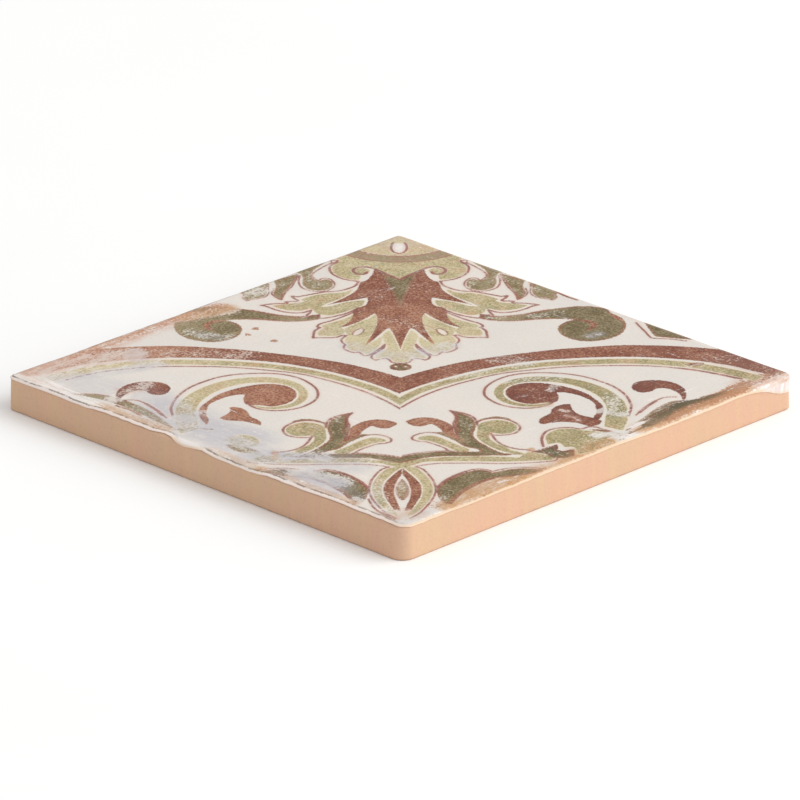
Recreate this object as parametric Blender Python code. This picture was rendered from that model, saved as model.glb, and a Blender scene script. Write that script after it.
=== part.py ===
"""A square glazed ceramic wall tile with an uneven, hand-finished rim, lying on its back.

The tile is fired as one piece, so it is one solid. Its origin is the middle of its back, +Z
comes out of the glazed face, and its sides run along X and Y. Lengths are in metres.
"""

import math

import bmesh
import bpy
from mathutils import Vector

MM = 0.001

# Driving dimensions of the body
SIDE = 150 * MM
THICKNESS = 10 * MM
CORNER_RADIUS = 4 * MM
CORNER_STEPS = 6
BACK_ARRIS = 0.5 * MM
BACK_ARRIS_STEPS = 2

# The rim: the face falls away over RIM_WIDTH and meets the side RIM_DROP below its middle
RIM_WIDTH = 2.6 * MM
RIM_DROP = 1.1 * MM
RIM_STEPS = 5

# The rim's waves: how much its width and its drop swell and shrink on the way round
WIDTH_WAVE = 0.45 * MM
DROP_WAVE = 0.4 * MM
DROP_LAG = 0.25
CUT_PITCH = 5 * MM

# Where the waves are strongest, in turns from the -X -Y corner, and their share opposite
STRONGEST_TURN = 0.875
CALM_SHARE = 0.35

# Each wave's count in one turn round the tile, its share of the height, and its start in turns
RIM_WAVES = (
    (7, 0.40, 0.15),
    (16, 0.35, 0.60),
    (29, 0.25, 0.35),
)

# How close two lengths are to count as equal
CLOSE = 0.005 * MM

# The finish, as the glazed face shows it
GLAZE_COLOUR = (0.80, 0.76, 0.70, 1.0)
GLAZE_ROUGHNESS = 0.35
SHARP_ANGLE = math.radians(35)


def clear_scene() -> None:
    """Removes whatever the scene holds."""
    for obj in list(bpy.data.objects):
        bpy.data.objects.remove(obj, do_unlink=True)


def rounded_slab() -> bmesh.types.BMesh:
    """Makes the body from a cube, with its upright corners, rim and back arris rounded."""
    slab = bmesh.new()
    bmesh.ops.create_cube(slab, size=1.0)
    bmesh.ops.scale(slab, vec=(SIDE, SIDE, THICKNESS), verts=slab.verts)
    bmesh.ops.translate(slab, vec=(0, 0, THICKNESS / 2), verts=slab.verts)

    upright = [edge for edge in slab.edges if edge.verts[0].co.xy == edge.verts[1].co.xy]
    round_edges(slab, upright, CORNER_RADIUS, CORNER_STEPS)
    round_edges(slab, level_edges(slab, 0.0), BACK_ARRIS, BACK_ARRIS_STEPS)
    round_edges(slab, level_edges(slab, THICKNESS), RIM_WIDTH, RIM_STEPS)
    return slab


def round_edges(body: bmesh.types.BMesh, edges: list, radius: float, steps: int) -> None:
    """Rounds the given edges to one radius."""
    bmesh.ops.bevel(
        body, geom=edges, offset=radius, offset_type='OFFSET', segments=steps,
        profile=0.5, affect='EDGES', clamp_overlap=False)


def level_edges(body: bmesh.types.BMesh, height: float) -> list:
    """Lists the edges that lie flat at one height."""
    return [edge for edge in body.edges
            if all(abs(vert.co.z - height) < CLOSE for vert in edge.verts)]


def cut_across(body: bmesh.types.BMesh) -> None:
    """Cuts the rim and sides at each pitch along X and Y, and leaves face and back uncut."""
    for axis in (Vector((1, 0, 0)), Vector((0, 1, 0))):
        for step in range(1, round(SIDE / CUT_PITCH)):
            place = axis * (step * CUT_PITCH - SIDE / 2)
            every = [*body.verts, *body.edges, *body.faces]
            bmesh.ops.bisect_plane(body, geom=every, dist=CLOSE, plane_co=place, plane_no=axis)
    for height in (0.0, THICKNESS):
        level = set(level_edges(body, height))
        inner = [edge for edge in level
                 if all(level.issuperset(face.edges) for face in edge.link_faces)]
        bmesh.ops.dissolve_edges(body, edges=inner, use_verts=True, use_face_split=False)


def turn_round(point: Vector) -> float:
    """Gives a point's place on the way round the tile, from 0 to 1, starting at the -X -Y corner."""
    reach = max(abs(point.x), abs(point.y))
    if point.y == -reach:
        sides = (point.x / reach + 1) / 2
    elif point.x == reach:
        sides = 1 + (point.y / reach + 1) / 2
    elif point.y == reach:
        sides = 2 + (1 - point.x / reach) / 2
    else:
        sides = 3 + (1 - point.y / reach) / 2
    return sides / 4


def rim_wave(turn: float, lag: float) -> float:
    """Gives the rim's wave, from -1 to 1. It is strongest on the -X side and calmest opposite."""
    nearness = (1 + math.cos(math.tau * (turn - STRONGEST_TURN))) / 2
    wave = sum(share * math.sin(math.tau * (count * turn + start + lag))
               for count, share, start in RIM_WAVES)
    return (CALM_SHARE + (1 - CALM_SHARE) * nearness) * wave


def shape_rim(body: bmesh.types.BMesh) -> None:
    """Turns the round rim into a low, wavy one. The sides stay flat and the face stays level."""
    core = SIDE / 2 - CORNER_RADIUS
    for vert in body.verts:
        depth = THICKNESS - vert.co.z
        if depth > RIM_WIDTH + CLOSE:
            continue
        turn = turn_round(vert.co)
        width = RIM_WIDTH + WIDTH_WAVE * rim_wave(turn, 0.0)
        drop = RIM_DROP + DROP_WAVE * rim_wave(turn, DROP_LAG)
        middle = vert.co.copy()
        middle.x = max(-core, min(core, middle.x))
        middle.y = max(-core, min(core, middle.y))
        outward = vert.co - middle
        inset = CORNER_RADIUS - outward.length
        outward.length = CORNER_RADIUS - inset * width / RIM_WIDTH
        vert.co = middle + outward
        vert.co.z = THICKNESS - depth * drop / RIM_WIDTH


def glazed_ceramic() -> bpy.types.Material:
    """Makes the tile's material."""
    material = bpy.data.materials.new("glazed_ceramic")
    material.use_nodes = True
    shader = material.node_tree.nodes["Principled BSDF"]
    shader.inputs["Base Color"].default_value = GLAZE_COLOUR
    shader.inputs["Roughness"].default_value = GLAZE_ROUGHNESS
    shader.inputs["Metallic"].default_value = 0.0
    material.diffuse_color = GLAZE_COLOUR
    return material


def build_tile() -> bpy.types.Object:
    """Builds the tile and puts it in a collection of its own."""
    body = rounded_slab()
    cut_across(body)
    shape_rim(body)
    bmesh.ops.recalc_face_normals(body, faces=body.faces)

    mesh = bpy.data.meshes.new("tile")
    body.to_mesh(mesh)
    body.free()
    mesh.materials.append(glazed_ceramic())
    mesh.shade_smooth()
    mesh.set_sharp_from_angle(angle=SHARP_ANGLE)

    tile = bpy.data.objects.new("tile", mesh)
    collection = bpy.data.collections.new("ceramic_tile")
    bpy.context.scene.collection.children.link(collection)
    collection.objects.link(tile)
    return tile


clear_scene()
build_tile()
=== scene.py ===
"""The looks of a square decorated ceramic tile, lying on a pale floor.

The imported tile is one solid. Two pieces stand for it here: the bare clay body, and the glazed
coat over its face, which rolls over the rim and ends in a wavy edge. The ornament on the coat is
drawn as outlines, and each outline becomes a distance that the glaze's material reads, so the
paints keep crisp but grainy edges. Lengths are in millimetres until a mesh is made.
"""

import logging
import math
from dataclasses import dataclass
from dataclasses import field
from enum import Enum
from typing import NamedTuple

import bpy
import numpy as np
from mathutils import Matrix
from mathutils import Vector

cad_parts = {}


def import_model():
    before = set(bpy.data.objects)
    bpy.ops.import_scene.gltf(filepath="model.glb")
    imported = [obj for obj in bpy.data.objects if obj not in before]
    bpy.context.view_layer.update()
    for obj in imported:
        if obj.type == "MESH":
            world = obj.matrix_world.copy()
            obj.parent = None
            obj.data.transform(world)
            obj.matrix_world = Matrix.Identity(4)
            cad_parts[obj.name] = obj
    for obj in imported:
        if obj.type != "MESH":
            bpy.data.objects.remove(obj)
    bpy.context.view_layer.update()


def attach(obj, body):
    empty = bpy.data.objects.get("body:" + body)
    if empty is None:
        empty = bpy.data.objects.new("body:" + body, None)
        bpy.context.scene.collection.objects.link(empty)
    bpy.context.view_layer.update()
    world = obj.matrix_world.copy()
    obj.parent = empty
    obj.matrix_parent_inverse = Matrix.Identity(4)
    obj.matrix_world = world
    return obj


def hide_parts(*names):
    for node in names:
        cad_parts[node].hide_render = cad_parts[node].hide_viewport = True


LOG = logging.getLogger("ceramic_tile")

Points = list[tuple[float, float]]
Colour = tuple[float, float, float, float]
Socket = bpy.types.NodeSocket

MM = 0.001
BODY = "root"
TILE_NODE = "tile"
ROOT_2 = math.sqrt(2.0)

# The side and thickness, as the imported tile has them
HALF_SIDE = 75.0
THICKNESS = 10.0
WAY_ROUND = 8 * HALF_SIDE

# The radius that each corner shows, and how far beside it the grid is stretched to fit
FRONT_RADIUS = 4.0
RIGHT_RADIUS = 3.2
BACK_RADIUS = 1.8
LEFT_RADIUS = 2.1
CORNER_EASE = 12.0

# The studio's light whitens the floor, so the finishes send back this share of their colours
FIRED_SHARE = 0.926

# Beyond this distance an outline no longer matters to the paint around it
FAR = 3.0

# How far a heavier or lighter load of paint reaches beyond its outline
SOAK = 1.5

# The spacing of the points that a smooth curve is drawn with, and what counts as no length
CURVE_STEP = 0.6
TINY = 1e-9


# Points and curves


class Tip(NamedTuple):
    """A point where an outline turns sharply. Across and along are measured on the face."""

    across: float
    along: float


def spread(run: np.ndarray, looped: bool) -> np.ndarray:
    """Runs a smooth curve through points.

    Args:
        run: The points, one in each row.
        looped: Whether the curve goes back to its first point.

    Returns:
        Closely set points along the curve.
    """
    if looped:
        padded = np.vstack([run[-1], run, run[0], run[1]])
    else:
        padded = np.vstack([2 * run[0] - run[1], run, 2 * run[-1] - run[-2]])
    pieces = []
    for first, start, end, last in zip(padded, padded[1:], padded[2:], padded[3:]):
        steps = max(2, math.ceil(float(np.hypot(*(end - start))) / CURVE_STEP))
        t = (np.arange(steps) / steps)[:, None]
        lead_in = (end - first) / 2
        lead_out = (last - start) / 2
        pieces.append(
            start * (2 * t**3 - 3 * t**2 + 1)
            + lead_in * (t**3 - 2 * t**2 + t)
            + end * (3 * t**2 - 2 * t**3)
            + lead_out * (t**3 - t**2)
        )
    pieces.append(run[:1] if looped else run[-1:])
    return np.vstack(pieces)


def trace(points: Points, closed: bool) -> np.ndarray:
    """Traces an outline or a stroke.

    Args:
        points: Points along it. The curve is smooth at each one that isn't a Tip.
        closed: Whether the last point joins the first.

    Returns:
        Closely set points along it, ending where it starts if it is closed.
    """
    points = list(points)
    tips = [n for n, point in enumerate(points) if isinstance(point, Tip)]
    if closed and not tips:
        return spread(np.array(points, float), True)
    if closed:
        points = points[tips[0]:] + points[: tips[0] + 1]
    ends = [n for n, point in enumerate(points) if isinstance(point, Tip)]
    ends = sorted({0, len(points) - 1, *ends})
    runs = []
    for start, end in zip(ends, ends[1:]):
        runs.append(spread(np.array(points[start : end + 1], float), False))
    return np.vstack(runs)


def reach(places: np.ndarray, curve: np.ndarray) -> np.ndarray:
    """Gives each place's distance from a curve.

    Args:
        places: Places on the face, one in each row.
        curve: Closely set points along the curve, or a single point.

    Returns:
        The distances.
    """
    best = np.full(len(places), np.inf)
    if len(curve) == 1:
        return np.hypot(*(places - curve[0]).T)
    for start, end in zip(curve, curve[1:]):
        step = end - start
        size = float(step @ step)
        if size < TINY:
            continue
        share = np.clip(((places - start) @ step) / size, 0.0, 1.0)
        gap = places - start - share[:, None] * step
        best = np.minimum(best, np.einsum("ij,ij->i", gap, gap))
    return np.sqrt(best)


def within(places: np.ndarray, curve: np.ndarray) -> np.ndarray:
    """Tells which places lie inside a closed curve.

    Args:
        places: Places on the face, one in each row.
        curve: Closely set points along the curve, ending where it starts.

    Returns:
        True for each place inside.
    """
    inside = np.zeros(len(places), bool)
    for (across, along), (next_across, next_along) in zip(curve, curve[1:]):
        if along == next_along:
            continue
        level = (places[:, 1] >= along) != (places[:, 1] >= next_along)
        share = (places[:, 1] - along) / (next_along - along)
        inside ^= level & (places[:, 0] < across + share * (next_across - across))
    return inside


def around(places: np.ndarray, curve: np.ndarray, margin: float) -> np.ndarray:
    """Finds the places near a curve.

    Args:
        places: Places on the face, one in each row.
        curve: Points along the curve.
        margin: How far round the curve's box a place still counts.

    Returns:
        The numbers of those places.
    """
    low = curve.min(axis=0) - margin
    high = curve.max(axis=0) + margin
    return np.flatnonzero(np.all((places > low) & (places < high), axis=1))


def ease(value: np.ndarray, start: float, end: float) -> np.ndarray:
    """Goes smoothly from 0 at start to 1 at end.

    Args:
        value: The values.
        start: Where the result leaves 0.
        end: Where it reaches 1. It may lie below start.

    Returns:
        The results.
    """
    share = np.clip((value - start) / (end - start), 0.0, 1.0)
    return share * share * (3 - 2 * share)


# What is painted on the face


class Paint(Enum):
    """The paints. Each value is also the name of the distance that the material reads."""

    GREEN = "green"
    OLIVE = "olive"
    RUST = "rust"
    LINE = "line"


class Wash(Enum):
    """What time and the kiln did to the glaze. Each value is the name of a share from 0 to 1."""

    WORN = "worn"
    HAZE = "haze"
    PEACH = "peach"
    TAN = "tan"
    BROWN = "brown"
    SCRAPED = "scraped"


class Repeat(Enum):
    """Whether an outline is drawn as it is, or mirrored about the tile's diagonal too."""

    ONCE = "once"
    MIRRORED = "mirrored"


@dataclass
class Canvas:
    """The places of the face that are painted, and what each paint and wash does there."""

    across: np.ndarray
    along: np.ndarray
    sag: float = 1.4
    sag_from: tuple[float, float] = (36.0, 52.0)
    sag_to: tuple[float, float] = (108.0, 86.0)
    paints: dict[Paint, np.ndarray] = field(init=False)
    washes: dict[Wash, np.ndarray] = field(init=False)
    load: np.ndarray = field(init=False)
    as_placed: np.ndarray = field(init=False)
    mirrored: np.ndarray = field(init=False)

    def __post_init__(self) -> None:
        """Starts with a bare face."""
        self.paints = {paint: np.full(len(self.across), FAR) for paint in Paint}
        self.washes = {wash: np.zeros(len(self.across)) for wash in Wash}
        self.load = np.zeros(len(self.across))

        # The left half of the ornament sits a little lower near the front corner
        left = (self.across < 0) * self.sag
        low = ease(self.along, *self.sag_to) * ease(self.along, *self.sag_from)
        self.as_placed = np.stack([self.across, self.along], axis=1)
        self.mirrored = np.stack([np.abs(self.across), self.along + left * low], axis=1)

    def places(self, repeat: Repeat) -> np.ndarray:
        """Gives the places as an outline sees them."""
        return self.mirrored if repeat is Repeat.MIRRORED else self.as_placed

    def outline(self, points: Points, repeat: Repeat) -> tuple[np.ndarray, np.ndarray]:
        """Measures how far places lie from a closed outline.

        Args:
            points: Points along the outline.
            repeat: Whether it is mirrored.

        Returns:
            The numbers of the places near it, and their distances, which are negative inside.
        """
        curve = trace(points, True)
        places = self.places(repeat)
        near = around(places, curve, FAR)
        gap = reach(places[near], curve)
        gap[within(places[near], curve)] *= -1
        return near, gap

    def fill(
        self,
        paint: Paint,
        points: Points,
        repeat: Repeat = Repeat.MIRRORED,
        load: float = 0.0,
    ) -> None:
        """Fills a closed outline.

        Args:
            paint: The paint.
            points: Points along the outline.
            repeat: Whether it is mirrored.
            load: How heavy the paint lies here, from -1 to 1.
        """
        near, gap = self.outline(points, repeat)
        known = self.paints[paint]
        known[near] = np.minimum(known[near], gap)
        self.load[near] += load * ease(gap, SOAK, 0.0)

    def leave(self, paint: Paint, points: Points, repeat: Repeat = Repeat.MIRRORED) -> None:
        """Leaves a closed outline free of a paint.

        Args:
            paint: The paint.
            points: Points along the outline.
            repeat: Whether it is mirrored.
        """
        near, gap = self.outline(points, repeat)
        known = self.paints[paint]
        known[near] = np.maximum(known[near], -gap)

    def stroke(
        self,
        points: Points,
        width: float = 0.85,
        repeat: Repeat = Repeat.MIRRORED,
        paint: Paint = Paint.LINE,
        closed: bool = False,
    ) -> None:
        """Draws a stroke of the brush.

        Args:
            points: Points along the stroke.
            width: Its width.
            repeat: Whether it is mirrored.
            paint: The paint.
            closed: Whether its last point joins its first.
        """
        curve = trace(points, closed)
        places = self.places(repeat)
        near = around(places, curve, FAR)
        known = self.paints[paint]
        known[near] = np.minimum(known[near], reach(places[near], curve) - width / 2)

    def wash(self, kind: Wash, points: Points, width: float, strength: float = 1.0) -> None:
        """Spreads a soft stain or a worn patch along a line, or round one point.

        Args:
            kind: What it is.
            points: Points along its middle.
            width: How far it reaches to each side.
            strength: Its share at the middle, which may be negative to clear it.
        """
        curve = np.array(points, float) if len(points) < 3 else trace(points, False)
        near = around(self.as_placed, curve, width)
        share = ease(reach(self.as_placed[near], curve), width, width * 0.25)
        known = self.washes[kind]
        known[near] = np.clip(known[near] + strength * share, 0.0, 1.0)

    def wear(self, kind: Wash, rows: tuple[tuple[float, float, Points], ...]) -> None:
        """Spreads several stains or worn patches of one kind.

        Args:
            kind: What they are.
            rows: The width, the strength and the points of each.
        """
        for width, strength, points in rows:
            self.wash(kind, points, width, strength)


class Ornament:
    """The acanthus and scroll ornament, from the back corner of the tile to the front one."""

    def __init__(self, canvas: Canvas) -> None:
        """Keeps the canvas to draw on."""
        self.canvas = canvas

    def draw(self) -> None:
        """Draws every motif."""
        self.corner_medallion()
        self.collar()
        self.acanthus()
        self.wing_leaf()
        self.second_leaf()
        self.scallops()
        self.olive_scroll()
        self.edge_scroll_and_leaves()
        self.arches()
        self.crescent_scroll()
        self.hearts_and_commas()
        self.palmette()
        self.lower_bands()
        self.round_leaf()
        self.teardrop()
        self.front_leaf()
        self.side_leaves()

    def corner_medallion(self) -> None:
        """Draws the quarter of a medallion that the back corner holds."""
        pen = self.canvas
        ring_radius = 19.7
        ring_half = 2.4
        disc_radius = 16.6
        line_half = 0.3
        place = pen.places(Repeat.MIRRORED)
        radius = np.hypot(place[:, 0], place[:, 1] - 2 * ROOT_2 * HALF_SIDE)
        band = np.abs(radius - ring_radius)
        for paint, gap in (
            (Paint.OLIVE, band - ring_half),
            (Paint.LINE, np.abs(band - ring_half) - line_half),
            (Paint.GREEN, radius - disc_radius),
        ):
            pen.paints[paint] = np.minimum(pen.paints[paint], np.clip(gap, -FAR, FAR))
        pen.load -= 0.5 * ease(radius, 22.4, 21.6)
        pen.washes[Wash.PEACH] += 0.8 * ease(band, 2.8, 2.2)
        pen.washes[Wash.BROWN] += 0.3 * ease(band, 2.6, 2.0)
        pen.washes[Wash.TAN] += 0.4 * ease(radius, 17.5, 16.5)
        pen.washes[Wash.PEACH] += 0.5 * ease(radius, 17.0, 15.5)
        pen.washes[Wash.HAZE] += 0.5 * ease(radius, 14.0, 9.0)
        drop = [Tip(-4, 205.4), (2.2, 204.8), (2.8, 200.6), (1.5, 196.6), Tip(-4, 196)]
        pen.leave(Paint.GREEN, drop)
        pen.stroke([Tip(1.6, 205.2), (2.1, 203.2), (2.2, 200.4), (1.4, 197.8), (0, 196.8)], 0.8)
        pen.wear(Wash.PEACH, (
            (3, 0.8, [(-7, 205), (0, 211), (6, 206)]), (3.6, -0.6, [(0, 197), (0, 205)]),
        ))
        pen.wash(Wash.TAN, [(0, 197), (0, 205)], 3.6, -1.0)
        pen.wash(Wash.HAZE, [(0, 197), (0, 205)], 3.0, -0.4)
        pen.wash(Wash.SCRAPED, [(0, 198.5), (0, 203.5)], 2.0, 0.5)

    def collar(self) -> None:
        """Draws the yellow-green collar that curls over the acanthus."""
        pen = self.canvas
        body = [
            Tip(-5, 189.6), (0, 190), (5.5, 190.8), (10.5, 193), Tip(15.8, 196.4), Tip(17.6, 194),
            (16.7, 191.8), (16.7, 190.3), (17.6, 188.6), (18.4, 186.5), (18.5, 184.5), (18, 182),
            (16.8, 179.8), (15, 178), (13, 177), Tip(11.4, 176.9), (11.1, 178.5), Tip(11, 180),
            (12.6, 180.9), (13.5, 182.6), (13.5, 184.8), (12.3, 186.6), (10.2, 187.2),
            (8, 186.6), (5.5, 184.3), (3, 181.3), (1, 179), Tip(0, 177.9), Tip(-5, 177.9),
        ]
        pen.fill(Paint.GREEN, body, load=-0.1)
        pen.stroke(
            [(17.3, 191.6), (17.3, 190), (18.2, 188.8), (19.2, 187), (19.4, 184.8), (18.9, 182),
             (17.6, 179.5), (15.6, 177.3), (13.2, 176), (11.2, 175.4)],
            0.8,
        )
        pen.fill(Paint.GREEN, [(8.4, 183.6), (10.2, 185.4), (12, 184.2), (11.8, 182), (10, 181.3)])
        pen.stroke([Tip(17.2, 191), (18.9, 191.4), Tip(18.6, 189), Tip(17.2, 191)], 0.5)
        pen.stroke(
            [Tip(0, 176.7), (3, 180.4), (6, 184), (7.5, 185.5), (9.5, 186.4), (11.3, 186.2),
             (12.6, 184.9), (12.8, 183), (12, 181.4), (10.8, 180.7), (9.4, 181.2), (9, 182.6)],
            1.0,
        )

    def acanthus(self) -> None:
        """Draws the rust-brown body of the acanthus and the olive spear on it."""
        pen = self.canvas
        body = [
            Tip(-5, 176.2), Tip(0, 176.2), (3, 180), Tip(7.1, 184.6), (7.3, 182), (8, 179),
            (9.2, 176.2), Tip(10.8, 174.8), (11.3, 172), (12, 168.5), (14.2, 164.5),
            (16.8, 161), Tip(20, 157.4), (16.5, 159.4), (12.5, 161.3), Tip(8.9, 163), (8.8, 160),
            (9.6, 157), (11.8, 155.4), (12.9, 153.6), (12.9, 151.8), (13, 148.5), (14.3, 144.3),
            Tip(16.8, 140.3), (13, 143), (9.5, 147.2), Tip(6.9, 151.3), (6.2, 148), (6.3, 144.5),
            (6.6, 141), (7.4, 136.8), (8.3, 133), Tip(9.7, 126.7), (7.6, 131), (5.6, 135.5),
            (4, 139), Tip(3, 140.2), (2.4, 138.5), (1.5, 134), (0.7, 129), Tip(0, 124.7),
            Tip(-5, 124.7),
        ]
        pen.fill(Paint.RUST, body)
        spear = [
            Tip(-4, 177), Tip(0, 177), (2, 179.2), Tip(4.7, 181.6), (3.9, 176), (2.8, 171),
            (1.7, 165), (0.9, 160), Tip(0, 155.5), Tip(-4, 155.5),
        ]
        pen.fill(Paint.OLIVE, spear)
        pen.stroke(spear[1:-1], 0.7, paint=Paint.OLIVE)
        pen.leave(Paint.RUST, spear)
        pen.load -= 0.3 * ease(np.hypot(pen.across, pen.along - 148), 14.0, 6.0)
        pen.wear(Wash.WORN, (
            (4, 0.34, [(-4, 148), (1, 144), (6, 139)]), (5, 0.28, [(-5.5, 164)]),
            (6, 0.22, [(5.5, 172)]),
        ))

    def wing_leaf(self) -> None:
        """Draws the light green leaf that spreads to each side of the acanthus."""
        pen = self.canvas
        pen.stroke(
            [Tip(11.4, 175.2), (12, 172.5), (13.5, 170.5), (16, 168.5), (18.5, 167.6),
             (20.5, 167.4), (23, 166.3), (25.5, 165), Tip(28, 163.7), Tip(29.8, 164.3),
             (29, 162.3), Tip(28, 161), (28.5, 160.2), (30, 160.3), Tip(31.5, 160), (31, 158.8),
             (34, 158.6), (36.5, 158), Tip(38.2, 157.3), (36.3, 156.2), (34.5, 154.3),
             (32, 152.5), (29, 151.6), (26.5, 151.9), Tip(24.3, 153.7), (24.9, 151.2),
             Tip(25.6, 149.8)],
            0.8,
        )
        pen.stroke(
            [Tip(22.3, 150.2), (21.9, 147.6), (19.5, 148.1), (17, 149.5), (14.5, 151.4),
             (12.5, 153.6), Tip(11.2, 155.2)],
            0.8,
        )
        upper = [
            Tip(13.1, 168.9), (15, 167), (17, 166.3), (20, 166), (23, 164.8), (25.5, 163),
            Tip(27, 161.5), Tip(26, 160.3), (28, 159), (31.5, 158), Tip(34.8, 157),
            (33.5, 155.5), (31, 154), (28, 153.4), (26, 154), Tip(24.8, 155), (23.5, 154),
            (23, 152), (21.5, 150.6), (19.5, 149.9), (17, 151.2), (14, 153.5), (11.5, 156),
            (10.2, 158), Tip(9.9, 160.7), (12.7, 160.3), (16, 158.5), (19, 156.4),
            Tip(22.4, 155.6), (20, 159), (16.9, 162.1), (14.6, 165.3),
        ]
        pen.fill(Paint.GREEN, upper)
        root = [Tip(22.2, 147), Tip(22.4, 150.3), Tip(24.8, 150), Tip(24.8, 146.4)]
        pen.fill(Paint.OLIVE, root, load=0.8)

    def second_leaf(self) -> None:
        """Draws the leaf below the wing, with its eyelet."""
        pen = self.canvas
        pen.stroke(
            [Tip(12.3, 152.4), (14.5, 150), (17, 147.3), (19.5, 145.2), (21.3, 143.9),
             (22.3, 142.6), (22.6, 141.2), Tip(21.7, 140.6), (22.6, 139.6), (23.4, 137.8),
             (23.6, 135.5), Tip(23.8, 132.9), (22, 133.2), (19, 133.1), (17, 133.7),
             (15.8, 134.9), Tip(14.6, 134.7)],
            0.8,
        )
        right = [
            Tip(12.3, 151), (13.5, 148.8), (16, 146), (19, 143.8), (20.8, 142.5), (21.2, 141.4),
            Tip(20.4, 140.4), (21.7, 138.5), (22.2, 136.4), Tip(22, 134.7), (19, 134.6),
            (17, 135), (15.7, 136.5), (15.2, 138.5), (16.2, 140.8), (14.5, 144), (12.8, 148),
        ]
        pen.fill(Paint.GREEN, right, load=-0.2)
        left = [
            Tip(6.8, 149.9), (8, 147.6), (10.8, 144.7), (13.1, 141.9), Tip(15, 139.6),
            (14.3, 136), (13.4, 134), Tip(9, 133.2), (8.1, 135.5), (7.3, 138), (6.8, 141),
            (6.5, 144), (6.4, 147),
        ]
        pen.fill(Paint.GREEN, left, load=-0.2)
        eye = [
            (9.9, 139.4), (11.2, 139.6), (12.7, 137.3), (12.9, 135.2), (11.8, 134.7),
            (10.4, 136.6),
        ]
        pen.leave(Paint.GREEN, eye)
        pen.stroke(eye, 0.5, closed=True)

    def scallops(self) -> None:
        """Draws the scalloped foot of the acanthus and the knob that hangs from it."""
        pen = self.canvas
        pen.stroke(
            [Tip(14.6, 134.7), (15.8, 132.4), (16, 130.5), Tip(15, 128), (15.3, 126.5),
             (15.2, 124.8), (14, 123.2), (12.5, 122.2), Tip(11.3, 122.6), (10.6, 121.3),
             Tip(9.8, 119.9), (8.8, 120.1), (7.6, 121.5), (6.3, 123.8), (5, 126.2),
             Tip(4.2, 128.3)],
            0.7,
        )
        pen.stroke(
            [Tip(4.2, 128.3), (4.6, 125.5), (6.2, 122.8), (7.5, 120.5), (7.9, 118.8),
             (7.3, 117.2), Tip(6.6, 116.6), (5.4, 117.5), Tip(3.9, 118), (3.1, 117),
             (2.6, 115.6), (1.9, 114.8), (0, 114.3)],
            0.7,
        )
        foot = [
            Tip(8.6, 133.4), (11, 133), (13.8, 134),
            (14.8, 131.5), (14.8, 130), Tip(13.8, 128), (14.2, 126.4), (13.6, 124.6),
            (12.4, 123.6), Tip(11.2, 124.2), (9.6, 121.8), (8.9, 121.6), (7.6, 123.6),
            (6.3, 126.2), (5.5, 128.6), Tip(5.2, 133.5), (7.6, 130),
        ]
        pen.fill(Paint.GREEN, foot, load=-0.7)
        tongue = [
            Tip(-4, 122), Tip(0.4, 123.4), (1.1, 128.5), (2.2, 134.5), Tip(3.1, 138.2),
            (4.6, 134.6), Tip(4.1, 130), (3.3, 127), (3.6, 124.5), (5.2, 121.5), (6.4, 119.2),
            Tip(6.5, 118), (5.2, 118.9), Tip(3.2, 119.4), (2.3, 117.6), (1.6, 115.9),
            (0, 115.4), Tip(-4, 115.4),
        ]
        pen.fill(Paint.GREEN, tongue, load=-0.6)
        pen.fill(
            Paint.OLIVE,
            [Tip(-4, 114.2), Tip(1.6, 114.2), (2.9, 112.4), (2.5, 110), (0, 108.9), Tip(-4, 108.9)],
            load=0.2,
        )
        pen.leave(Paint.OLIVE, [(1.3, 112.6), (1.8, 112), (1.3, 111.4), (0.8, 112)])
        pen.wear(Wash.HAZE, (
            (4.8, 0.72, [(-13, 127), (-6, 122), (0, 119.5), (6, 122), (13, 127)]),
            (4, 0.3, [(-21, 138), (-12, 138)]),
        ))
        pen.wash(Wash.WORN, [(-13, 127), (0, 119), (13, 127)], 7.0, 0.44)

    def olive_scroll(self) -> None:
        """Draws the large olive scroll that reaches towards each back side."""
        pen = self.canvas
        body = [
            Tip(22, 150.3), (25.5, 149), (29, 149), (33, 150), (37, 151.9), (41, 153.8),
            (45, 155.2), (48, 156.1), (51, 156.3), (53.5, 155.9), Tip(57, 154.5), Tip(58, 151),
            (59.5, 149), (60.7, 147.4), (61.4, 145.5), (61.8, 143), (61.6, 140), (60.8, 137),
            (59.3, 134.3), (57, 132), (54.3, 130.7), (51.5, 130), (48.8, 130.5), (46.5, 131.8),
            (44.7, 133.8), (43.5, 136.3), (43.1, 139), (43.5, 141.7), (44.8, 144),
            (46.5, 145.5), Tip(47.8, 146.2), (45, 146.6), (41, 146.8), (37, 146.4),
            (33, 145.6), (29, 145.3), (25, 145.9), Tip(22.3, 147),
        ]
        pen.fill(Paint.OLIVE, body)
        eye = [Tip(48.6, 145.9), (51.3, 144.9), (52.9, 142.6), (52.6, 140.4), (51, 138.9)]
        swirl = [
            Tip(47.6, 146.2), (49.4, 146.2), (51.2, 145.9), (53, 144.5), (53.9, 142.5),
            (53.4, 140.4), Tip(51.7, 138.5), (51.9, 140), (52, 142), (51.4, 143.8), (50, 145),
        ]
        pen.stroke(eye, 0.9, paint=Paint.RUST)
        pen.fill(Paint.RUST, swirl, load=-0.1)
        fleck = [(57.6, 150.6), (60.6, 147.7), (61.2, 145), (59.2, 146.2)]
        pen.fill(Paint.RUST, fleck, Repeat.ONCE, -0.2)
        pen.stroke(body[:6], 0.6)
        pen.stroke(body[:-7:-1], 0.6)
        pen.stroke([Tip(24, 148.6), (29, 147.6), (34, 148.4)], 0.5, paint=Paint.RUST)
        root = ease(np.abs(pen.across), 38.0, 28.0) * ease(np.abs(pen.across), 19.0, 22.0)
        pen.load -= 0.7 * root * ease(np.abs(pen.along - 147.8), 3.8, 2.6)
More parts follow.
